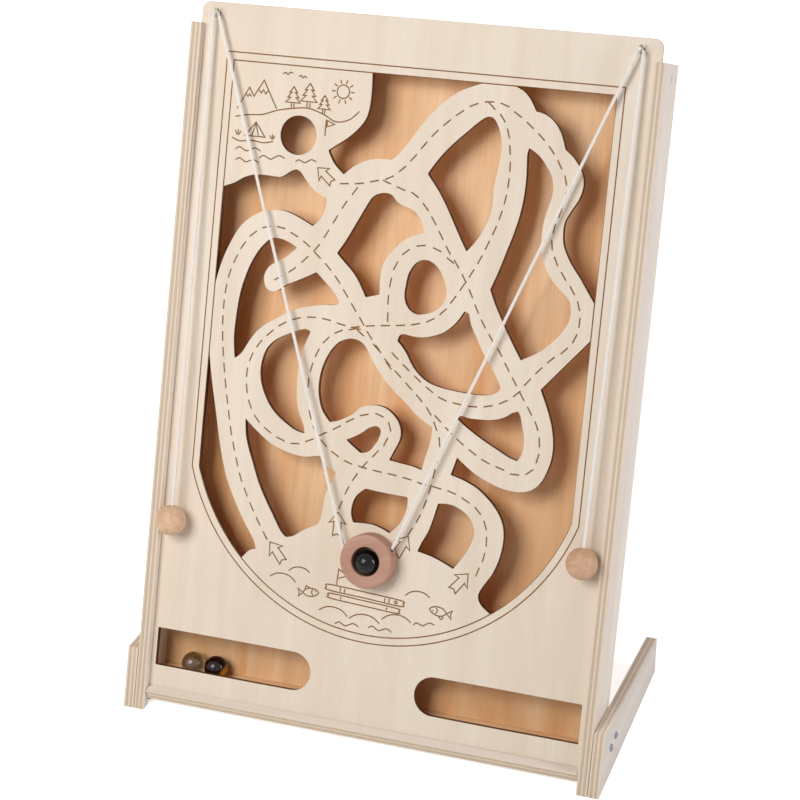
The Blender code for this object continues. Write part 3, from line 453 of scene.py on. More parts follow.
# %% Field and road runs
FIELD_HALF = 127.3
FIELD_LOW = 59.0
FIELD_HIGH = 415.3
ROAD_RUN_SHARES = [
    [(-.600, .150), (-.660, .182), (-.715, .215), (-.765, .250), (-.800, .285), (-.835, .325),
     (-.865, .370), (-.895, .420), (-.920, .470), (-.937, .520), (-.940, .570), (-.925, .615),
     (-.885, .655), (-.840, .683), (-.790, .700), (-.730, .710), (-.670, .711), (-.610, .704),
     (-.550, .694), (-.490, .680), (-.430, .662), (-.370, .644), (-.310, .620), (-.260, .596),
     (-.205, .572), (-.150, .545), (-.090, .520), (-.030, .496), (.030, .478), (.090, .460),
     (.150, .442), (.210, .421), (.255, .395), (.285, .370), (.283, .340), (.270, .300),
     (.250, .265), (.220, .230), (.178, .200)],
    [(-.345, .801), (-.270, .804), (-.190, .811), (-.110, .820), (-.045, .838), (.020, .865),
     (.085, .897), (.160, .925), (.240, .949), (.310, .964), (.380, .969), (.450, .966),
     (.520, .952), (.600, .932), (.670, .911), (.730, .887), (.780, .858), (.803, .833),
     (.790, .800), (.765, .772), (.755, .745), (.770, .720), (.815, .692), (.870, .668),
     (.915, .643), (.935, .615), (.925, .585), (.890, .562), (.830, .544), (.770, .522),
     (.710, .496), (.650, .468), (.580, .451), (.500, .441), (.420, .438), (.340, .440),
     (.260, .446), (.190, .461), (.120, .478), (.060, .494), (.010, .508)],
    [(-.120, .812), (-.040, .803), (.040, .794), (.110, .770), (.170, .740), (.230, .707),
     (.300, .675), (.360, .642), (.420, .603), (.480, .570), (.540, .544), (.600, .512),
     (.660, .481), (.715, .452), (.760, .430), (.790, .405), (.800, .375), (.785, .350),
     (.745, .333), (.690, .330), (.620, .336), (.540, .344), (.470, .356), (.400, .371),
     (.330, .389), (.265, .408)],
    [(-.285, .790), (-.330, .766), (-.375, .736), (-.420, .706), (-.465, .680), (-.530, .655),
     (-.600, .632), (-.655, .620)],
    [(-.210, .548), (-.300, .552), (-.400, .558), (-.480, .556), (-.560, .548), (-.630, .533),
     (-.690, .513), (-.740, .490), (-.772, .462), (-.780, .432), (-.765, .402), (-.735, .376),
     (-.690, .356), (-.630, .341), (-.570, .331), (-.510, .326), (-.450, .328), (-.395, .338),
     (-.340, .350), (-.280, .362), (-.220, .377), (-.150, .392), (-.080, .400), (-.020, .397),
     (.015, .384), (.018, .366), (-.010, .345), (-.055, .325), (-.105, .303), (-.150, .277),
     (-.185, .250), (-.205, .228)],
    [(-.225, .546), (-.275, .542), (-.330, .532), (-.380, .513), (-.415, .487), (-.436, .455),
     (-.438, .424), (-.424, .394), (-.398, .368), (-.362, .346), (-.310, .330), (-.250, .316),
     (-.180, .306), (-.110, .302), (-.030, .299), (.050, .297), (.130, .294), (.210, .289),
     (.290, .286), (.370, .282), (.440, .273), (.500, .262), (.545, .246), (.572, .225),
     (.580, .200), (.572, .172), (.550, .148)],
    [(-.215, .550), (-.130, .556), (-.050, .560), (.030, .564), (.100, .569), (.170, .578),
     (.230, .594), (.280, .618), (.325, .645), (.362, .668), (.400, .695), (.440, .730),
     (.475, .765), (.500, .805), (.508, .845), (.500, .885), (.475, .925), (.430, .950),
     (.385, .962)],
    [(-.048, .575), (-.055, .605), (-.050, .640), (-.030, .670), (.010, .692), (.070, .706),
     (.140, .708), (.200, .700), (.250, .688)],
    [(-.185, .541), (-.130, .530), (-.075, .512), (-.020, .490)],
]
DASH_LENGTH = 6.4
DASH_PITCH = 10.2
LINE_WIDTH = 0.82
DASH_WIDTH = 0.95


def field(share):
    """Millimetres on the board of a point given in shares of the field."""
    return Vector((share[0] * FIELD_HALF, FIELD_LOW + share[1] * (FIELD_HIGH - FIELD_LOW)))


def curved(points, steps=5, closed=False):
    """A smooth line through its points."""
    count = len(points)
    line = []
    for i in range(count if closed else count - 1):
        a, b = points[i], points[(i + 1) % count]
        before = points[i - 1] if closed or i > 0 else a
        after = points[(i + 2) % count] if closed or i + 2 < count else b
        line += interpolate_bezier(a, a + (b - before) / 6, b - (after - a) / 6, b, steps + 1)[:-1]
    return [Vector(p) for p in line] + ([] if closed else [Vector(points[-1])])


# %% Dashes by Geometry Nodes
def add_input(tree, name, kind="NodeSocketFloat"):
    return tree.interface.new_socket(name, in_out="INPUT", socket_type=kind)


def geometry_tree(name, *numbers):
    """A Geometry Nodes group with a geometry input and output and named number inputs."""
    tree = bpy.data.node_groups.new(name, "GeometryNodeTree")
    tree.interface.new_socket("Geometry", in_out="INPUT", socket_type="NodeSocketGeometry")
    tree.interface.new_socket("Geometry", in_out="OUTPUT", socket_type="NodeSocketGeometry")
    for number in numbers:
        add_input(tree, number)
    return tree, node(tree, "NodeGroupInput"), node(tree, "NodeGroupOutput")


def run_tree(name, mesh, tree, **numbers):
    """The plain mesh that a tree makes of a mesh, with its named inputs set."""
    carrier = bpy.data.objects.new(name, mesh)
    bpy.context.scene.collection.objects.link(carrier)
    modifier = carrier.modifiers.new(name, "NODES")
    modifier.node_group = tree
    for item in tree.interface.items_tree:
        if item.item_type == "SOCKET" and item.in_out == "INPUT" and item.name in numbers:
            modifier[item.identifier] = numbers[item.name]
    evaluated = carrier.evaluated_get(bpy.context.evaluated_depsgraph_get())
    made = bpy.data.meshes.new_from_object(evaluated)
    bpy.data.objects.remove(carrier)
    return made


def wire_mesh(name, lines):
    """A mesh of edges only, one chain for each line of points."""
    points, edges = [], []
    for line in lines:
        start = len(points)
        points += [tuple(p) if len(p) == 3 else (p[0], p[1], 0.0) for p in line]
        edges += [(start + i, start + i + 1) for i in range(len(line) - 1)]
    mesh = bpy.data.meshes.new(name)
    mesh.from_pydata(points, edges, [])
    return mesh


dash_tree, given, result = geometry_tree("dashes_along_runs", "Pitch", "Length", "Width")
runs = node(dash_tree, "GeometryNodeMeshToCurve", {0: given.outputs["Geometry"]})
spaced = node(dash_tree, "GeometryNodeResampleCurve",
              {"Curve": runs.outputs[0], "Length": given.outputs["Pitch"]}, mode="LENGTH")
plate = node(dash_tree, "GeometryNodeCurvePrimitiveQuadrilateral",
             {"Width": given.outputs["Length"], "Height": given.outputs["Width"]})
corner_radius = node(dash_tree, "ShaderNodeMath", {0: given.outputs["Width"], 1: 0.45},
                     operation="MULTIPLY")
rounded = node(dash_tree, "GeometryNodeFilletCurve",
               {"Curve": plate.outputs[0], "Radius": corner_radius.outputs[0], "Count": 2},
               mode="POLY")
filled = node(dash_tree, "GeometryNodeFillCurve", {0: rounded.outputs[0]}, mode="NGONS")
tangent = node(dash_tree, "GeometryNodeInputTangent")
aligned = node(dash_tree, "FunctionNodeAlignRotationToVector", {"Vector": tangent.outputs[0]},
               axis="X", pivot_axis="Z")
set_out = node(dash_tree, "GeometryNodeInstanceOnPoints",
               {"Points": spaced.outputs[0], "Instance": filled.outputs[0],
                "Rotation": aligned.outputs[0]})
real = node(dash_tree, "GeometryNodeRealizeInstances", {0: set_out.outputs[0]})
finish = node(dash_tree, "GeometryNodeSetMaterial", {0: real.outputs[0], "Material": engraved})
dash_tree.links.new(finish.outputs[0], result.inputs[0])

road_lines = [curved([field(share) for share in run]) for run in ROAD_RUN_SHARES]
dash_mesh = run_tree("road_dashes", wire_mesh("road_runs", road_lines), dash_tree,
                     Pitch=DASH_PITCH, Length=DASH_LENGTH, Width=DASH_WIDTH)
dashes = [[Vector(dash_mesh.vertices[i].co[:2]) for i in polygon.vertices]
          for polygon in dash_mesh.polygons]
print("road dashes:", len(dashes))

# %% [markdown]
# The rest of the engraving is given one by one: a double border, arrows where the roads begin
# and end, and small scenes of mountains, pines, waves, fish and a raft. Each motif is a few strokes
# in millimetres about its own middle, and a stroke is closed, smooth or both, so a mountain and a
# wave come from the same few lines of code.

# %% Motifs
PINE = [("closed", [(-5, 3), (-1.8, 6.2), (-3.8, 6.2), (-1.2, 9.4), (-2.6, 9.4), (0, 13),
                    (2.6, 9.4), (1.2, 9.4), (3.8, 6.2), (1.8, 6.2), (5, 3)]),
        ("open", [(-.9, 2.4), (-.9, 0)]), ("open", [(.9, 2.4), (.9, 0)])]
SUN = [("smooth closed", [(4.2 * math.cos(a * math.tau / 12), 4.2 * math.sin(a * math.tau / 12))
                          for a in range(12)])]
SUN += [("open", [(r * math.cos(a * math.tau / 10), r * math.sin(a * math.tau / 10))
                  for r in (5.4, 7.6)]) for a in range(10)]
ARROW = [("closed", [(0, 9.2), (6.4, 1.6), (2.7, 2.6), (3.1, -7.6), (0, -6.0), (-3.1, -7.6),
                     (-2.7, 2.6), (-6.4, 1.6)])]
FISH = [("smooth closed", [(-6, .4), (-3, 2.9), (1.5, 3.4), (5.4, 2), (7.4, 0), (5.4, -2),
                           (1.5, -3.2), (-3, -2.6), (-6, -.4)]),
        ("open", [(-7, .6), (-10.4, 3.2), (-9.4, 0), (-10.4, -3.2), (-7, -.6)]),
        ("open", [(4.5, .8), (4.9, .8)]),
        ("smooth", [(2.2, 2.2), (1.2, 0), (2.2, -2)]),
        ("smooth", [(-.6, 3.9), (-3, 5.4), (-4.2, 3.4)])]
TENT = [("closed", [(-7, 0), (0, 9), (7, 0)]), ("open", [(0, 8.0), (-2.2, .8)]),
        ("open", [(0, 8.0), (2.2, .8)])]
FLAG = [("open", [(0, 0), (0, 11)]), ("closed", [(.9, 10.6), (6.6, 8.4), (.9, 6.2)])]
BIRD = [("smooth", [(-3.2, 1), (-1.4, 1.7), (-.2, .3)]), ("smooth", [(.4, .3), (1.6, 1.7),
                                                                    (3.4, 1)])]
WAVE = [("smooth", [(-9, 0), (-6.4, 1.6), (-3.6, .4), (-1, -.6), (2, .8), (5, 1.8), (8.6, .2)])]
SWELL = [("smooth", [(-9, -1.4), (-5, 1.3), (0, 2.2), (5, 1.3), (9, -1.4)])]
TUFT = [("open", [(-2.4, 3), (-.8, 0)]), ("open", [(0, 4), (0, .2)]), ("open", [(2.4, 3), (.8, 0)])]
RAFT = [("smooth closed", [(-25, 1.9), (0, 2.1), (25, 1.9), (26.6, 0), (25, -1.9), (0, -1.8),
                           (-25, -1.9), (-26.6, 0)]),
        ("smooth closed", [(-23, -3.7), (0, -3.6), (23, -3.7), (24.4, -5.3), (23, -6.9),
                           (0, -7.0), (-23, -6.9), (-24.4, -5.3)]),
        ("open", [(-17, 1.2), (-17, -1.2)]), ("open", [(-14, 1.2), (-14, -1.2)]),
        ("open", [(17, 1.2), (17, -1.2)]), ("open", [(14, 1.2), (14, -1.2)]),
        ("open", [(-16, -4.6), (-16, -6.0)]), ("open", [(16, -4.6), (16, -6.0)]),
        ("smooth closed", [(21.6, .9), (20.7, 0), (21.6, -.9), (22.5, 0)]),
        ("open", [(-20, 2.9), (-20, 13), (-13.4, 9.8), (-19.1, 7.2)])]
RIDGE = [("open", [(-16, -9), (-8.6, 5), (-5, -.4), (1.2, 10.4), (11.4, -7)]),
         ("open", [(-1.9, 3.9), (-.2, 2.0), (1.2, 4.2), (2.9, 1.8), (4.6, 3.9)]),
         ("open", [(-10.6, .6), (-9.2, -.9), (-8.2, .8), (-6.9, -.6)])]
MOTIFS = [
    (RIDGE, (-.835, .940), 0, 1.0), (SUN, (-.395, .962), 0, 1.0), (PINE, (-.660, .926), 0, 1.0),
    (PINE, (-.575, .929), 0, 1.15), (PINE, (-.490, .921), 0, .85), (BIRD, (-.700, .982), 8, 1.0),
    (BIRD, (-.620, .979), -6, .8), (TENT, (-.850, .868), 0, 1.0), (TUFT, (-.945, .868), 0, .8),
    (FLAG, (-.472, .882), 0, .9), (TUFT, (-.755, .866), 0, .7), (WAVE, (-.880, .842), 0, 1.0),
    (WAVE, (-.745, .832), 4, 1.0), (WAVE, (-.880, .822), -3, .9), (WAVE, (-.560, .832), 5, .8),
    (ARROW, (-.448, .811), 52, .82), (ARROW, (-.525, .122), 42, .92),
    (ARROW, (-.212, .190), 2, .92), (ARROW, (.140, .170), -28, .92),
    (ARROW, (.462, .123), -38, .92),
    (RAFT, (-.030, .072), -3, 1.0), (FISH, (-.325, .060), 8, .80), (FISH, (.370, .066), 174, .85),
    (SWELL, (-.480, .080), -4, 1.0), (SWELL, (-.395, .098), 3, .8), (SWELL, (-.190, .034), -3, 1.1),
    (SWELL, (-.020, .030), 0, 1.15), (SWELL, (.150, .040), 3, 1.1), (SWELL, (.250, .090), 4, .9),
    (WAVE, (-.110, .012), 2, .9), (WAVE, (.070, .014), -2, .9), (WAVE, (.300, .037), 8, .8),
]
GROUND_SHARES = [[(-.965, .900), (-.900, .905), (-.820, .908), (-.740, .918), (-.660, .924),
                  (-.575, .927), (-.490, .919), (-.420, .908), (-.350, .914), (-.300, .930)],
                 [(-.975, .862), (-.930, .857), (-.870, .860), (-.800, .858), (-.750, .862)]]


def motif_strokes(motif, share, degrees, size):
    """A motif's strokes, turned, scaled and set down on the board."""
    turn = Matrix.Rotation(math.radians(degrees), 2)
    middle = field(share)
    strokes = []
    for kind, points in motif:
        placed = [middle + turn @ (Vector(p) * size) for p in points]
        if "smooth" in kind:
            placed = curved(placed, 4, "closed" in kind)
        strokes.append((placed, "closed" in kind))
    return strokes


def border_line(half, top, radius, middle=193.0, steps=96):
    """A closed border: square above and an arc below."""
    end = math.asin(half / radius)
    angles = [end - 2 * end * i / steps for i in range(steps + 1)]
    arc = [Vector((radius * math.sin(t), middle - radius * math.cos(t))) for t in angles]
    return [Vector((half, top))] + arc + [Vector((-half, top))]


strokes = [stroke for motif in MOTIFS for stroke in motif_strokes(*motif)]
strokes += [(curved([field(share) for share in line]), False) for line in GROUND_SHARES]
strokes += [(border_line(132.3, 420.5, 139.0), True), (border_line(127.3, 415.3, 134.0), True)]
print("strokes:", len(strokes))


# %% Strokes as narrow outlines
def offsets(points, distance, closed):
    """The line moved sideways, with mitred corners."""
    moved = []
    count = len(points)
    for i, point in enumerate(points):
        before = points[i - 1] if closed or i > 0 else None
        after = points[(i + 1) % count] if closed or i + 1 < count else None
        a = (point - before).normalized() if before is not None else (after - point).normalized()
        b = (after - point).normalized() if after is not None else a
        normal = Vector((-(a.y + b.y), a.x + b.x))
        normal = normal.normalized() if normal.length > 1e-6 else Vector((-a.y, a.x))
        reach = distance / max(0.45, normal.dot(Vector((-a.y, a.x))))
        moved.append(point + normal * reach)
    return moved


def counter_clockwise(loop):
    area = sum(a.x * b.y - a.y * b.x for a, b in zip(loop, loop[1:] + loop[:1]))
    return loop if area > 0 else loop[::-1]


def stroke_loops(points, closed, width):
    """One outline for an open stroke, or the outer and the inner one of a closed band."""
    left, right_side = offsets(points, width / 2, closed), offsets(points, -width / 2, closed)
    if closed:
        pair = sorted((left, right_side), key=lambda l: -abs(max(p.x for p in l) - min(
            p.x for p in l)))
        return [counter_clockwise(loop) for loop in pair]
    cap_end = points[-1] + (points[-1] - points[-2]).normalized() * width * 0.45
    cap_start = points[0] + (points[0] - points[1]).normalized() * width * 0.45
    return [counter_clockwise(left + [cap_end] + right_side[::-1] + [cap_start])]


# %% [markdown]
# Now the plane is divided. The triangulation is told which outlines it was given, and for each
# triangle it says which of them hold it. A triangle in any stroke is groove floor, one in a
# cut-out is left out, and the rest is the panel's face. Walls go where two levels meet, and where
# the sheet ends. The lines are 0.8 to 0.95 mm wide and burnt 0.25 mm deep.

# %% Divide the plane and raise the panel
GROOVE_DEPTH = 0.25
PANEL_THICKNESS = 4.0
RIM_ROUNDING = 0.35
SLOPE = math.tan(LEAN)


def inset_rim(loop, distance):
    """The panel's outline moved inwards, but not at its mitred foot."""
    moved = offsets(counter_clockwise(loop), distance, True)
    for point, old in zip(moved, counter_clockwise(loop)):
        if old.y < 1.0:
            point.y = old.y
    return moved


rim_outer = counter_clockwise(panel_rim)
rim_inner = inset_rim(panel_rim, RIM_ROUNDING)
outlines = [("rim", rim_inner)]
outlines += [("hole", counter_clockwise(loop)) for loop in cut_outs]
outlines += [("stroke", counter_clockwise(loop)) for loop in dashes]
bands = []
for points, closed in strokes:
    loops = stroke_loops(points, closed, LINE_WIDTH)
    outlines.append(("stroke" if not closed else "band", loops[0]))
    if closed:
        bands.append((len(outlines) - 1, len(outlines)))
        outlines.append(("inner", loops[1]))
inner_of = dict(bands)

plane_points, plane_faces = [], []
for kind, loop in outlines:
    plane_faces.append(list(range(len(plane_points), len(plane_points) + len(loop))))
    plane_points += loop
points, _, triangles, _, _, origins = delaunay_2d_cdt(plane_points, [], plane_faces, 0, 1e-5)


def level_of(inside):
    """0 for the top face, 1 for a groove's floor, None for open space."""
    if 0 not in inside or any(outlines[i][0] == "hole" for i in inside):
        return None
    for i in inside:
        kind = outlines[i][0]
        if kind == "stroke" or (kind == "band" and inner_of[i] not in inside):
            return 1
    return 0


kept = [(tuple(t), level_of(set(o))) for t, o in zip(triangles, origins)]
kept = [(t, level) for t, level in kept if level is not None]
print("plane points:", len(points), "triangles kept:", len(kept))


# %% Panel mesh
def panel_vertex(index, w):
    """The board place of a plane point at a depth; the panel's foot is mitred to the ledge."""
    u, v = points[index]
    return on_board(u, v + (-w * SLOPE if v < 1.0 else 0.0), w)


def build_panel():
    bm = bmesh.new()
    made = {}

    def at(index, w):
        if (index, w) not in made:
            made[index, w] = bm.verts.new(panel_vertex(index, w))
        return made[index, w]

    def face(corners, slot):
        corners = [c for i, c in enumerate(corners) if c != corners[i - 1]]
        if len(set(corners)) > 2:
            bm.faces.new(corners).material_index = slot

    front = {0: 0.0, 1: -GROOVE_DEPTH}
    levels, edges = {}, {}
    for triangle, level in kept:
        for i in triangle:
            levels.setdefault(i, set()).add(level)
        face([at(i, front[level]) for i in triangle], level)
        face([at(i, -PANEL_THICKNESS) for i in reversed(triangle)], 4)
        for a, b in zip(triangle, triangle[1:] + triangle[:1]):
            edges[a, b] = level
    rim_edges = []
    for (a, b), level in edges.items():
        other = edges.get((b, a))
        if other is None:
            steps_a = [front[k] for k in sorted(levels[a]) if front[k] <= front[level]]
            steps_b = [front[k] for k in sorted(levels[b]) if front[k] <= front[level]]
            side_a = [at(a, w) for w in steps_a] + [at(a, -PANEL_THICKNESS)]
            side_b = [at(b, w) for w in steps_b] + [at(b, -PANEL_THICKNESS)]
            on_rim = a in rim_index and b in rim_index
            if on_rim:
                rim_edges.append((a, b))
            else:
                face(side_a + side_b[::-1], 2)
        elif level == 0 and other == 1:
            face([at(a, front[0]), at(a, front[1]), at(b, front[1]), at(b, front[0])], 1)
    for a, b in rim_edges:
        below, above = -RIM_ROUNDING, RIM_ROUNDING - PANEL_THICKNESS
        outer = []
        for key in ((a, below), (b, below), (b, above), (a, above)):
            if key not in made:
                made[key] = bm.verts.new(rim_place(*key))
            outer.append(made[key])
        face([at(a, 0.0), outer[0], outer[1], at(b, 0.0)], 3)
        face([outer[0], outer[3], outer[2], outer[1]], 3)
        face([outer[3], at(a, -PANEL_THICKNESS), at(b, -PANEL_THICKNESS), outer[2]], 3)
    return bm


def rim_place(index, w):
    """A point of the panel's full outline, below its rounding."""
    u, v = rim_outer[rim_index[index]]
    return on_board(u, v + (-w * SLOPE if v < 1.0 else 0.0), w)


rim_index = {}
for i, point in enumerate(points):
    nearest = min(range(len(rim_inner)), key=lambda k: (rim_inner[k] - point).length_squared)
    if (rim_inner[nearest] - point).length < 0.001:
        rim_index[i] = nearest


def add_piece(name, mesh, materials, body, replaced=(), angle=35.0):
    """Puts a finished mesh in the scene as a piece, which rides on a body if one is named."""
    piece = bpy.data.objects.new(name, mesh)
    bpy.context.scene.collection.objects.link(piece)
    for material in materials:
        mesh.materials.append(material)
    if angle is not None:
        mesh.shade_smooth()
        mesh.set_sharp_from_angle(angle=math.radians(angle))
    if replaced:
        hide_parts(*replaced)
    if body:
        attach(piece, body)
    return piece


bm = build_panel()
panel_mesh = bpy.data.meshes.new("panel")
bm.to_mesh(panel_mesh)
open_edges = sum(1 for edge in bm.edges if not edge.is_manifold)
bm.free()
add_piece("engraved_panel", panel_mesh,
          [panel_ply, engraved, burnt_edge, panel_ply, inner_veneer], "board", ["maze_panel"],
          30.0)
print("panel faces:", len(panel_mesh.polygons), "open edges:", open_edges)

# %% [markdown]
# ## Side boards, ledges, back and feet
# These are plain sheets that were sawn, grooved and lightly sanded. Sanding leaves every long
# corner with a radius of about 0.4 mm, and that small round catches a line of light, which is
# what tells the eye that a board is real. Each solid is copied, its loose triangles are joined
# into flat faces, and its long corners are bevelled. Each board gets its own sheet of ply. The
# thin back is a redder veneer. The top of the ledge behind the panel, where the marbles roll,
# gets the same warm tones as painted shade.

# %% Soften the boards
def softened(name, radius=0.4, shortest=4.0):
    """A copy of a solid with its long corners rounded."""
    bm = merged_copy(name)
    bmesh.ops.dissolve_limit(bm, angle_limit=math.radians(1.0), verts=bm.verts, edges=bm.edges)
    corners = [edge for edge in bm.edges
               if edge.is_manifold and edge.calc_face_angle(0.0) > math.radians(20.0)
               and edge.calc_length() > shortest * MM]
    bmesh.ops.bevel(bm, geom=corners, offset=radius * MM, segments=2, profile=0.5,
                    affect="EDGES", clamp_overlap=True)
    bmesh.ops.recalc_face_normals(bm, faces=bm.faces)
    mesh = bpy.data.meshes.new(name + "_sanded")
    bm.to_mesh(mesh)
    bm.free()
    return mesh


SIDE_OUTER = 157.3
FOOT_OUTER = 164.9
BOARD_THICKNESS = 7.3
REARWARD = Vector((0, 1, 0))
LEVEL = Vector((0, 0, 1))
SHEETS = {
    "left_side_board": (on_board(-SIDE_OUTER, 0), UP, -ACROSS, BOARD_THICKNESS, 5),
    "right_side_board": (on_board(SIDE_OUTER, 0), UP, ACROSS, BOARD_THICKNESS, 5),
    "bottom_board": (on_board(0, 0), ACROSS, LEVEL, 6.6, 5),
    "top_board": (on_board(0, 432.55, -10), ACROSS, UP, BOARD_THICKNESS, 5),
    "left_foot": (on_board(-FOOT_OUTER, 0), REARWARD, -ACROSS, BOARD_THICKNESS, 5),
    "right_foot": (on_board(FOOT_OUTER, 0), REARWARD, ACROSS, BOARD_THICKNESS, 5),
}
FACE_TONES = ("#ECE1D6", "#E3D6C9", "#CDB8A0")
FOOT_TONES = ("#DAD1C8", "#D0C5BA", "#BBA993")
for seed, (name, sheet) in enumerate(SHEETS.items()):
    tones = FOOT_TONES if "foot" in name else FACE_TONES
    ply = ply_material("birch_ply_" + name, *sheet, 11.0 + 9.0 * seed, *tones,
                       knot_radius=0.9)
    mesh, finishes = softened(name), [ply]
    if name == "bottom_board":
        bm = bmesh.new()
        bm.from_mesh(mesh)
        bmesh.ops.bisect_plane(bm, geom=bm.verts[:] + bm.edges[:] + bm.faces[:],
                               plane_co=on_board(0, 0, -3.9), plane_no=OUT)
        # The top of the ledge behind the panel, facing up, takes the second slot: painted shade in
        # the warm tones of the back.
        for face in bm.faces:
            behind = (face.calc_center_median() - on_board(0, 0, -3.9)).dot(OUT) < 0
            face.material_index = int(behind and face.normal.dot(LEVEL) > 0.7)
        bm.to_mesh(mesh)
        bm.free()
        finishes.append(ply_material("ledge_painted_shade", *sheet, 77.0, *WARM_TONES))
    piece = add_piece(name + "_sheet", mesh, finishes, "board", [name])
    print(name, len(piece.data.polygons), "faces")

back_ply = ply_material("birch_ply_back", on_board(0, 0, -22), UP, OUT, 2.0, 3, 83.0,
                        *WARM_TONES, 0.55)
add_piece("back_sheet", softened("back_panel", 0.2), [back_ply], "board", ["back_panel"])

# %% [markdown]
# ## Beads and ring
# The two pull beads and the lifting ring are turned beech. Beech is pinkish tan and shows short
# dark flecks where the cut runs along the rays. A lathe part is a profile turned about an axis,
# so one function turns any profile, and the ring's two string sockets are then bored with a
# Boolean, as a drill does it.


# %% Turned beech
def beech(name, place, grain, light, dark, seed, ring_width=2.6):
    """Oiled beech, with flecks about 0.25 mm wide and 1.8 mm long."""
    material, tree, shader = new_material(name, 0.5)
    spot = sheet_place(tree, place, grain, grain.orthogonal())
    growth = streaks(tree, spot, ring_width, 40.0, seed, 0.3, 0.72, bend=0.6)
    fine = streaks(tree, spot, 0.5, 12.0, seed + 2.0, 0.3, 0.8)
    flecks = streaks(tree, spot, 0.25, 1.8, seed + 5.0, 0.62, 0.72, 1.0)
    shade = laid_over(tree, colour(light), growth, 1.0, dark)
    shade = laid_over(tree, shade, fine, 0.30, "#B98766")
    shade = laid_over(tree, shade, flecks, 0.45, "#9A6546")
    tree.links.new(shade.outputs[2], shader.inputs["Base Color"])
    rough = node(tree, "ShaderNodeMath", {0: fine, 1: 0.18, 2: 0.42}, operation="MULTIPLY_ADD")
    tree.links.new(rough.outputs[0], shader.inputs["Roughness"])
    rise = node(tree, "ShaderNodeMath", {0: 1.0, 1: flecks}, operation="SUBTRACT")
    bump = node(tree, "ShaderNodeBump", {"Strength": 0.2, "Distance": 0.00006, "Height": rise})
    tree.links.new(bump.outputs[0], shader.inputs["Normal"])
    return material


def lathe(name, profile, place, axis, sides=64):
    """Turns a closed profile of (radius, height) in millimetres about an axis."""
    turn = Vector(axis).to_track_quat("Z", "Y").to_matrix()
    bm = bmesh.new()
    rows = []
    for radius, height in profile:
        count = 1 if radius < 1e-6 else sides
        row = [Vector((radius * math.cos(math.tau * i / sides),
                       radius * math.sin(math.tau * i / sides), height)) for i in range(count)]
        rows.append([bm.verts.new(place + turn @ (p * MM)) for p in row])
    for a, b in zip(rows, rows[1:] + rows[:1]):
        for i in range(sides if max(len(a), len(b)) > 1 else 0):
            j = (i + 1) % sides
            corners = [a[i % len(a)], a[j % len(a)], b[j % len(b)], b[i % len(b)]]
            corners = [c for k, c in enumerate(corners) if c not in corners[:k]]
            bm.faces.new(corners)
    bmesh.ops.recalc_face_normals(bm, faces=bm.faces)
    mesh = bpy.data.meshes.new(name)
    bm.to_mesh(mesh)
    bm.free()
    mesh.shade_smooth()
    return mesh


def round_arc(middle, radius, start, end, steps):
    """Profile points on an arc; angles in degrees."""
    angles = [math.radians(start + (end - start) * i / steps) for i in range(steps + 1)]
    return [(middle[0] + radius * math.cos(t), middle[1] + radius * math.sin(t)) for t in angles]


def bored(mesh, cutters):
    """The mesh with other meshes cut out of it by Boolean modifiers."""
    item = bpy.data.objects.new("to_bore", mesh)
    tools = [bpy.data.objects.new("drill", cutter) for cutter in cutters]
    for thing in [item] + tools:
        bpy.context.scene.collection.objects.link(thing)
    for tool in tools:
        modifier = item.modifiers.new("bore", "BOOLEAN")
        modifier.operation, modifier.solver, modifier.object = "DIFFERENCE", "EXACT", tool
    evaluated = item.evaluated_get(bpy.context.evaluated_depsgraph_get())
    made = bpy.data.meshes.new_from_object(evaluated)
    for thing in [item] + tools:
        bpy.data.objects.remove(thing)
    return made


RING_MIDDLE = (-1.1, 108.8, 6.3)
RING_OUTER, RING_INNER, RING_HALF = 17.5, 9.4, 6.0
RIM_ROUND, BORE_ROUND = 1.4, 0.7
SOCKET_RADIUS, SOCKET_DEPTH, DRILL_RUN_OUT = 1.6, 4.0, 2.0
ring_profile = []
for side_of_ring, start in ((1, 0), (-1, 180)):
    outer = (RING_OUTER - RIM_ROUND, side_of_ring * (RING_HALF - RIM_ROUND))
    inner = (RING_INNER + BORE_ROUND, side_of_ring * (RING_HALF - BORE_ROUND))
    pair = [(outer, RIM_ROUND, 6), (inner, BORE_ROUND, 4)][::side_of_ring]
    for turn, (middle, radius, steps) in enumerate(pair):
        first = start + 90 * turn
        ring_profile += round_arc(middle, radius, first, first + 90, steps)
SOCKET_ANGLES = {"left": math.radians(168.0), "right": math.radians(32.0)}
ring_mesh = lathe("ring", ring_profile, on_board(*RING_MIDDLE), OUT, 112)
drills = []
for side, angle in SOCKET_ANGLES.items():
    outward = Vector((math.cos(angle), math.sin(angle), 0))
    mouth = on_board(*(Vector(RING_MIDDLE) + outward * RING_OUTER))
    drills.append(lathe("drill_" + side, [
        (0, -SOCKET_DEPTH), (SOCKET_RADIUS, -SOCKET_DEPTH), (SOCKET_RADIUS, DRILL_RUN_OUT),
        (0, DRILL_RUN_OUT)], mouth, along_board(*outward), 24))
ring_beech = beech("beech_ring", on_board(*RING_MIDDLE), along_board(0.9, 0.35, 0),
                   "#BC9380", "#AB7E6D", 3.0, 6.0)
ring = add_piece("lifting_ring", bored(ring_mesh, drills), [ring_beech], "ring", ["guide_ring"])
print("ring faces:", len(ring.data.polygons))

# %% [markdown]
# ## Strings
# Each side has one string: it comes up from its pull bead, bends over the wire of the screw eye
# and slants down to the ring. The game's cord is a tight white braid about 2 mm thick. A tube
# with its own UV map carries the braid: one coordinate counts millimetres along the cord and the
# other goes once around it, so the pattern follows the cord wherever it turns.

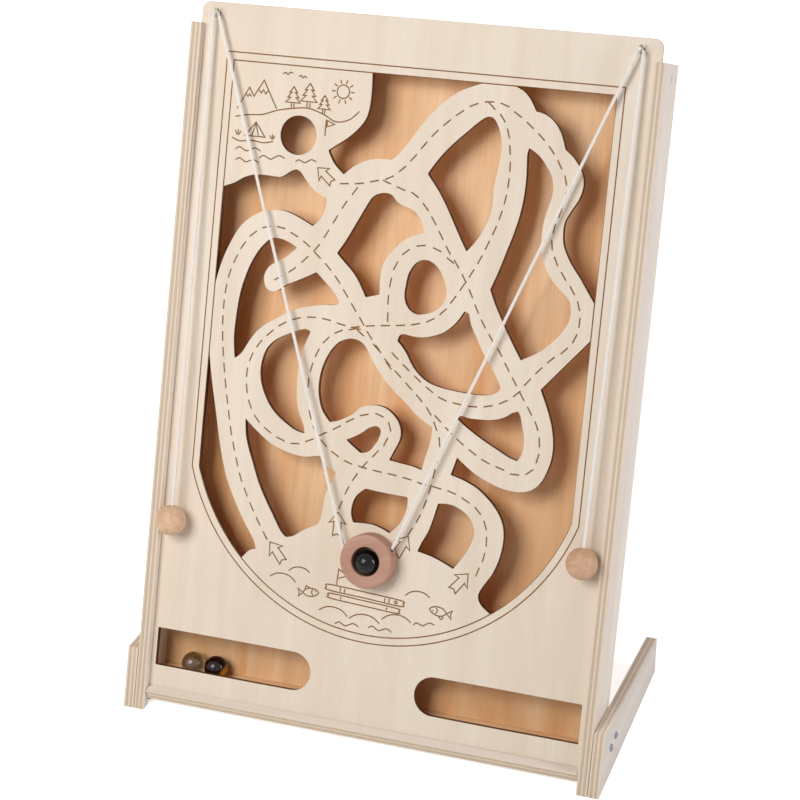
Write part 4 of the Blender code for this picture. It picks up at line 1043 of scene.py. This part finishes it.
# %% Braided cord
cord_white, tree, cord_shader = new_material("white_polyester_braid", 0.78)
uv = node(tree, "ShaderNodeUVMap", uv_map="along_cord").outputs[0]
length_mm, around = node(tree, "ShaderNodeSeparateXYZ", {0: uv}).outputs[:2]
BRAID_PITCH = 3.6
CARRIERS = 4
turns = node(tree, "ShaderNodeMath", {0: around, 1: CARRIERS * math.tau}, operation="MULTIPLY")
strands = []
for climb in (1, -1):
    advance = climb * CARRIERS * math.tau / (2 * BRAID_PITCH)
    phase = node(tree, "ShaderNodeMath", {0: length_mm, 1: advance, 2: turns},
                 operation="MULTIPLY_ADD")
    strands.append(node(tree, "ShaderNodeMath", {0: phase}, operation="SINE"))
upper = node(tree, "ShaderNodeMath", {0: strands[0], 1: strands[1]}, operation="MAXIMUM")
braid = node(tree, "ShaderNodeMapRange", {0: upper, 1: -0.2, 2: 1.0})
fibres = node(tree, "ShaderNodeTexNoise", {"Vector": uv, "Scale": 9.0, "Detail": 2.0})
painted_sheen_share = node(tree, "ShaderNodeMapRange", {0: fibres, 1: 0.2, 2: 0.8, 3: 0.8, 4: 1.0})
# Painted sheen and painted shade: the tint is lighter on the raised strands and darker in the
# grooves between them, varied by the fibre noise.
tone = laid_over(tree, colour("#E2DCD4"), braid, painted_sheen_share, "#FFFDFA")
tree.links.new(tone.outputs[2], cord_shader.inputs["Base Color"])
bump = node(tree, "ShaderNodeBump", {"Strength": 0.6, "Distance": 0.00015, "Height": braid})
tree.links.new(bump.outputs[0], cord_shader.inputs["Normal"])
print("braid: pitch", BRAID_PITCH, "mm,", 2 * CARRIERS, "carriers")


def cord_tube(name, line, radius, sides=12, closed=False):
    """A tube along world points, with the UV map that the braid follows."""
    bm = bmesh.new()
    uv_layer = bm.loops.layers.uv.new("along_cord")
    count = len(line)
    travelled, rings, across = [0.0], [], None
    for i, point in enumerate(line):
        before = line[i - 1] if i > 0 or closed else point
        after = line[(i + 1) % count] if i + 1 < count or closed else point
        along = (after - before).normalized()
        across = (across or along.orthogonal())
        across = (across - along * across.dot(along)).normalized()
        other = along.cross(across)
        rings.append([bm.verts.new(point + (across * math.cos(t) + other * math.sin(t)) * radius)
                      for t in (math.tau * k / sides for k in range(sides))])
        travelled.append(travelled[-1] + (line[(i + 1) % count] - point).length / MM)
    for i in range(count if closed else count - 1):
        a, b = rings[i], rings[(i + 1) % count]
        shift = 0
        if closed and i == count - 1:
            shift = min(range(sides), key=lambda s: (b[s].co - a[0].co).length)
        for k in range(sides):
            corners = (a[k], a[(k + 1) % sides], b[(k + 1 + shift) % sides],
                       b[(k + shift) % sides])
            face = bm.faces.new(corners)
            spots = ((0, k), (0, k + 1), (1, k + 1), (1, k))
            for loop, (step, turn) in zip(face.loops, spots):
                loop[uv_layer].uv = (travelled[i + step], turn / sides)
    if not closed:
        for cap in (rings[0], rings[-1]):
            bm.faces.new(cap)
    bmesh.ops.recalc_face_normals(bm, faces=bm.faces)
    mesh = bpy.data.meshes.new(name)
    bm.to_mesh(mesh)
    bm.free()
    return mesh


# %% [markdown]
# The route is the same as in the solids: the outer run ends inside the bead, just above its
# knot, and the inner run ends in the ring's socket. When the ring rises, the inner run gets
# shorter along the board while its top stays at the eye, and the outer run grows with the bead.

# %% Lay the strings
EYE_ACROSS, BEND_UP, EYE_OUT, BEND_RADIUS = 140.4, 441.5, 4.6, 1.9
BEAD_RADIUS, KNOT_DEPTH, GAP = 10.0, 4.6, 0.3
BEAD_PLACES = {"left": Vector((-139.5, 114.4, 10.3)), "right": Vector((139.5, 129.7, 10.3))}
CORD_RADIUS = 1.0


def string_route(side):
    """The bend over the eye, the outer run and the inner run, in board millimetres."""
    sign = -1 if side == "left" else 1
    centre = Vector((sign * EYE_ACROSS, BEND_UP, EYE_OUT))
    outward = Vector((math.cos(SOCKET_ANGLES[side]), math.sin(SOCKET_ANGLES[side]), 0))
    mouth = Vector(RING_MIDDLE) + outward * RING_OUTER
    slant = (mouth - centre).normalized()
    last = math.pi - math.atan2(abs(slant.x), -slant.y)
    bend = [centre + Vector((sign * math.cos(last * i / 16), math.sin(last * i / 16), 0))
            * BEND_RADIUS for i in range(17)]
    down = (BEAD_PLACES[side] - bend[0]).normalized()
    inward = (mouth - bend[-1]).normalized()
    outer = (bend[0] + down * GAP, BEAD_PLACES[side] + down * (BEAD_RADIUS - KNOT_DEPTH - GAP))
    return bend, outer, (bend[-1] + inward * GAP, mouth - inward * 0.5), down


def even_line(start, end, step=1.2):
    count = max(2, round((end - start).length / step))
    return [on_board(*start.lerp(end, i / count)) for i in range(count + 1)]


for side in ("left", "right"):
    bend, outer, inner, down = string_route(side)
    over_eye = [on_board(*p) for p in bend]
    add_piece(side + "_cord_over_eye", cord_tube(side + "_bend", over_eye, CORD_RADIUS * MM),
              [cord_white], "board", [side + "_eye_string"], None)
    line = even_line(*inner)
    piece = add_piece(side + "_cord_to_ring", cord_tube(side + "_inner", line, CORD_RADIUS * MM),
                      [cord_white], "board", [side + "_inner_string"], None)
    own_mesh(piece)
    line = even_line(*outer)
    piece = add_piece(side + "_cord_to_bead", cord_tube(side + "_outer", line, CORD_RADIUS * MM),
                      [cord_white], None, [side + "_outer_string"], None)
    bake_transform(piece)

# %% [markdown]
# Each bead is bored along its string, and the string ends below in a pocket, in a small overhand
# knot. The knot follows a trefoil, which is what an overhand knot is when its ends are joined.

# %% Beads and knots
BEAD_BORE, KNOT_POCKET = 1.4, 2.8
KNOT_CORD_RADIUS, KNOT_SIZE, KNOT_DROP = 0.72, 0.5, 1.9
for side in ("left", "right"):
    down = string_route(side)[3]
    axis = -along_board(*down)
    middle = on_board(*BEAD_PLACES[side])
    top = math.degrees(math.acos(BEAD_BORE / BEAD_RADIUS))
    low = math.degrees(math.acos(KNOT_POCKET / BEAD_RADIUS))
    skin = round_arc((0, 0), BEAD_RADIUS, top, -low, 40)
    skin[0] = (BEAD_BORE + 0.25, skin[0][1] - 0.02)
    profile = skin + [(KNOT_POCKET, KNOT_DEPTH - BEAD_RADIUS),
                      (BEAD_BORE, KNOT_DEPTH - BEAD_RADIUS), (BEAD_BORE, skin[0][1] - 0.3)]
    tones = ("#E5C4A6", "#D4AC89") if side == "left" else ("#D6B192", "#C69B79")
    bead_beech = beech("beech_bead_" + side, middle, along_board(0.35, 0.2, 0.9), *tones,
                       21.0 if side == "left" else 29.0)
    add_piece(side + "_bead", lathe(side + "_bead", profile, middle, axis, 72), [bead_beech],
              side + "_bead", [side + "_pull_bead"])
    knot_middle = middle - axis * (BEAD_RADIUS - KNOT_DEPTH + KNOT_DROP) * MM
    turn = axis.to_track_quat("Z", "Y").to_matrix()
    knot = []
    for i in range(72):
        t = math.tau * i / 72
        spot = Vector((math.sin(t) + 2 * math.sin(2 * t), math.cos(t) - 2 * math.cos(2 * t),
                       -1.2 * math.sin(3 * t))) * KNOT_SIZE
        knot.append(knot_middle + turn @ (spot * MM))
    knot_mesh = cord_tube(side + "_knot", knot, KNOT_CORD_RADIUS * MM, 10, True)
    add_piece(side + "_knot", knot_mesh, [cord_white], side + "_bead", [side + "_bead_knot"],
              None)

# %% [markdown]
# ## Metalwork
# The screw eyes are bent zinc-plated wire: a loop that the string runs over and a shank with a
# wood thread. A true thread is a ridge that climbs as it goes round, so each point of the shank
# moves out by how near it is to that ridge. The four foot screws are alike, so the lathe and a
# Boolean make one, and Geometry Nodes set a copy at each screw's place, each turned differently
# as a hand would leave it. The staples in the sides are fine as they are and only get their
# steel.


# %% Plated steel
def plated(name, bright, dull, roughness, seed):
    """Zinc-plated steel, with handling marks as blotches a millimetre or so across."""
    material, tree, shader = new_material(name, roughness, Metallic=1.0)
    where = node(tree, "ShaderNodeTexCoord").outputs["Object"]
    marks = node(tree, "ShaderNodeTexNoise", {"Vector": where, "W": seed, "Scale": 700.0,
                                              "Detail": 3.0}, noise_dimensions="4D")
    patch = node(tree, "ShaderNodeMapRange", {0: marks, 1: 0.35, 2: 0.7})
    shade = laid_over(tree, colour(bright), patch, 1.0, dull)
    tree.links.new(shade.outputs[2], shader.inputs["Base Color"])
    rough = node(tree, "ShaderNodeMath", {0: patch, 1: 0.2, 2: roughness - 0.08},
                 operation="MULTIPLY_ADD")
    tree.links.new(rough.outputs[0], shader.inputs["Roughness"])
    return material


screw_steel = plated("zinc_plated_screw", "#8D93A3", "#5A5F6E", 0.34, 1.0)
wire_steel = plated("zinc_plated_wire", "#C2BEB4", "#8E8A82", 0.25, 4.0)
for side in ("left", "right"):
    for row in ("front", "back"):
        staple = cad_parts[f"{side}_top_{row}_staple"]
        staple.material_slots[0].material = wire_steel

# %% Screw eyes
EYE_RADIUS, EYE_WIRE, EYE_SHANK, EYE_TIP_DEPTH = 2.6, 0.6, 0.9, 12.5
THREAD_PITCH, THREAD_HEIGHT = 1.1, 0.22


def screw_eye(side):
    sign = -1 if side == "left" else 1
    middle = on_board(sign * EYE_ACROSS, 444.1, EYE_OUT)
    bm = bmesh.new()
    loop, loop_sides, wire_sides = [], 56, 14
    for i in range(loop_sides):
        t = math.tau * i / loop_sides
        spoke = UP * math.cos(t) + OUT * math.sin(t)
        loop.append([bm.verts.new(middle + (spoke * (EYE_RADIUS + EYE_WIRE * math.cos(a))
                                            + ACROSS * EYE_WIRE * math.sin(a)) * MM)
                     for a in (math.tau * k / wire_sides for k in range(wire_sides))])
    for a, b in zip(loop, loop[1:] + loop[:1]):
        for k in range(wire_sides):
            bm.faces.new((a[k], a[(k + 1) % wire_sides], b[(k + 1) % wire_sides], b[k]))
    rows, sides, step = [], 24, 0.1
    count = round((EYE_TIP_DEPTH - EYE_RADIUS) / step)
    for i in range(count + 1):
        depth = EYE_RADIUS + i * step
        taper = min(1.0, (EYE_TIP_DEPTH - depth) / 2.5 * 0.75 + 0.2)
        row = []
        for k in range(sides):
            phase = (depth / THREAD_PITCH - k / sides) % 1.0
            ridge = max(0.0, 1 - abs(phase - 0.5) * 4) * THREAD_HEIGHT
            ridge = ridge * taper if depth > EYE_RADIUS + 3.4 else 0.0
            reach = (EYE_SHANK - THREAD_HEIGHT * (depth > EYE_RADIUS + 3.2)) * taper + ridge
            t = math.tau * k / sides
            row.append(bm.verts.new(middle + (ACROSS * math.cos(t) * reach
                                              + UP * math.sin(t) * reach - OUT * depth) * MM))
        rows.append(row)
    for a, b in zip(rows, rows[1:]):
        for k in range(sides):
            bm.faces.new((a[k], a[(k + 1) % sides], b[(k + 1) % sides], b[k]))
    bm.faces.new(rows[0])
    bm.faces.new(rows[-1])
    bmesh.ops.recalc_face_normals(bm, faces=bm.faces)
    mesh = bpy.data.meshes.new(side + "_screw_eye")
    bm.to_mesh(mesh)
    bm.free()
    return mesh


for side in ("left", "right"):
    add_piece(side + "_wire_eye", screw_eye(side), [wire_steel], "board", [side + "_screw_eye"],
              angle=50.0)

# %% Foot screws by Geometry Nodes
HEAD_RADIUS, HEAD_HEIGHT, SCREW_RADIUS, SCREW_LENGTH = 2.5, 1.1, 1.4, 12.5
dome = [(HEAD_RADIUS * math.cos(t), HEAD_HEIGHT * math.sin(t) + 0.02)
        for t in (math.radians(10 * i) for i in range(9))] + [(0.0, HEAD_HEIGHT)]
shaft = [(0.0, -SCREW_LENGTH), (0.4, -SCREW_LENGTH), (SCREW_RADIUS, 2.5 - SCREW_LENGTH),
         (SCREW_RADIUS, 0.0), (HEAD_RADIUS, 0.0)]
origin, up_axis = Vector((0, 0, 0)), Vector((0, 0, 1))
screw_mesh = lathe("screw", dome + shaft, origin, up_axis, 48)
slots = []
for turn in (0.0, 90.0):
    bm = bmesh.new()
    bmesh.ops.create_cube(bm, size=1.0)
    bmesh.ops.scale(bm, vec=(3.0 * MM, 0.62 * MM, 2.0 * MM), verts=bm.verts)
    for vert in bm.verts:
        if vert.co.z < 0:
            vert.co.x *= 0.35
    bmesh.ops.translate(bm, vec=(0, 0, 1.25 * MM), verts=bm.verts)
    bmesh.ops.rotate(bm, cent=(0, 0, 0), matrix=Matrix.Rotation(math.radians(turn), 3, "Z"),
                     verts=bm.verts)
    slots.append(bpy.data.meshes.new("driver_slot"))
    bm.to_mesh(slots[-1])
    bm.free()
screw_model = bpy.data.objects.new("screw_model", bored(screw_mesh, slots))

screw_tree, given, result = geometry_tree("screws_at_points")
screw_tree.interface.new_socket("Screw", in_out="INPUT", socket_type="NodeSocketObject")
screw_tree.interface.new_socket("Seed", in_out="INPUT", socket_type="NodeSocketInt")
model = node(screw_tree, "GeometryNodeObjectInfo", {0: given.outputs["Screw"]})
place = node(screw_tree, "ShaderNodeSeparateXYZ",
             {0: node(screw_tree, "GeometryNodeInputPosition").outputs[0]})
which = node(screw_tree, "ShaderNodeMath", {0: place.outputs[0]}, operation="SIGN")
facing = node(screw_tree, "ShaderNodeCombineXYZ", {0: which.outputs[0]})
tilt = node(screw_tree, "FunctionNodeAlignRotationToVector", {"Vector": facing.outputs[0]},
            axis="Z")
angle = node(screw_tree, "FunctionNodeRandomValue", {3: math.tau, "Seed": given.outputs["Seed"]},
             data_type="FLOAT")
spin = node(screw_tree, "FunctionNodeAxisAngleToRotation", {"Angle": angle.outputs[1]})
turned_by = node(screw_tree, "FunctionNodeRotateRotation",
                 {0: tilt.outputs[0], 1: spin.outputs[0]}, rotation_space="LOCAL")
copies = node(screw_tree, "GeometryNodeInstanceOnPoints",
              {"Points": given.outputs["Geometry"], "Instance": model.outputs["Geometry"],
               "Rotation": turned_by.outputs[0]})
real = node(screw_tree, "GeometryNodeRealizeInstances", {0: copies.outputs[0]})
finish = node(screw_tree, "GeometryNodeSetMaterial", {0: real.outputs[0],
                                                      "Material": screw_steel})
screw_tree.links.new(finish.outputs[0], result.inputs[0])

SCREW_PLACES = [(sign * (FOOT_OUTER + 0.3), v, w) for sign in (-1, 1)
                for v, w in ((13.1, -11.5), (19.1, -20.5))]
points_mesh = bpy.data.meshes.new("screw_places")
points_mesh.from_pydata([tuple(on_board(*place)) for place in SCREW_PLACES], [], [])
screws_mesh = run_tree("foot_screws", points_mesh, screw_tree, Screw=screw_model, Seed=7)
bpy.data.objects.remove(screw_model)
screws_mesh.materials.clear()
add_piece("foot_screws", screws_mesh, [screw_steel], "board",
          [f"{side}_foot_{row}_screw" for side in ("left", "right") for row in ("front", "back")])
print("foot screws:", len(SCREW_PLACES), "faces:", len(screws_mesh.polygons))

# %% [markdown]
# ## Marbles
# The marbles are pressed glass, 16 mm across: one black, in the ring, and one clear and one dark
# amber, waiting on the ledge. Glass has an index of about 1.5 and no roughness of its own. The
# amber one is so deep that it looks nearly black. The golden glow low on its right side is
# painted into its tint, in place of the light that shines through the glass.

# %% Glass
MARBLE_RADIUS, LEDGE_MIDDLE = 8.0, 13.0


def marble(name, node_name, place, material, body):
    bm = bmesh.new()
    bmesh.ops.create_icosphere(bm, subdivisions=5, radius=MARBLE_RADIUS * MM,
                               matrix=Matrix.Translation(on_board(*place)))
    mesh = bpy.data.meshes.new(name)
    bm.to_mesh(mesh)
    bm.free()
    mesh.shade_smooth()
    return add_piece(name, mesh, [material], body, [node_name], None)


def glass(name, light, dark, transmission, seed, gloss=0.5, glow=None):
    """Pressed glass, with faint swirls a few millimetres long in its tint, and maybe a painted
    glow.
    """
    material, tree, shader = new_material(name, 0.02, IOR=1.5)
    shader.inputs["Transmission Weight"].default_value = transmission
    shader.inputs["Specular IOR Level"].default_value = gloss
    where = node(tree, "ShaderNodeTexCoord").outputs["Object"]
    swirl = node(tree, "ShaderNodeTexNoise", {"Vector": where, "W": seed, "Scale": 160.0,
                                              "Detail": 2.0, "Distortion": 2.0},
                 noise_dimensions="4D")
    share = node(tree, "ShaderNodeMapRange", {0: swirl, 1: 0.3, 2: 0.7})
    tint = laid_over(tree, colour(light), share, 1.0, dark)
    # Painted glow: near the given spot the tint turns golden, in place of light shining through the
    # glass.
    if glow:
        spot, tone = glow
        away = node(tree, "ShaderNodeVectorMath", {0: where, 1: spot}, operation="DISTANCE")
        painted_glow_share = node(tree, "ShaderNodeMapRange", {0: away, 1: 7.5 * MM, 2: 5.5 * MM})
        tint = laid_over(tree, tint, painted_glow_share, 1.0, tone)
    tree.links.new(tint.outputs[2], shader.inputs["Base Color"])
    return material


TRAY_UP = LEDGE_MIDDLE * SLOPE + (MARBLE_RADIUS + 0.3) / math.cos(LEAN)
black_glass = glass("black_pressed_glass", "#0A0910", "#050507", 0.0, 1.0, 0.26)
clear_glass = glass("clear_pressed_glass", "#C3C1B2", "#A9A797", 1.0, 2.0, 0.8)
# The golden spot low at the back right of the amber marble is painted light, a painted glow.
amber_glass = glass("amber_pressed_glass", "#2E1407", "#160803", 0.3, 3.0, 0.26,
                    (on_board(-101.4, TRAY_UP - 3.5, -14.0), "#F0A63A"))
marble("black_marble", "ring_marble", (-1.1, 107.7, 8.3), black_glass, "carried_marble")
marble("clear_glass_marble", "clear_marble", (-125.0, TRAY_UP, -LEDGE_MIDDLE), clear_glass,
       "clear_ball")
marble("amber_glass_marble", "amber_marble", (-108.4, TRAY_UP, -LEDGE_MIDDLE), amber_glass,
       "amber_ball")
for name in ("black_marble", "clear_glass_marble", "amber_glass_marble"):
    print(name, "made")
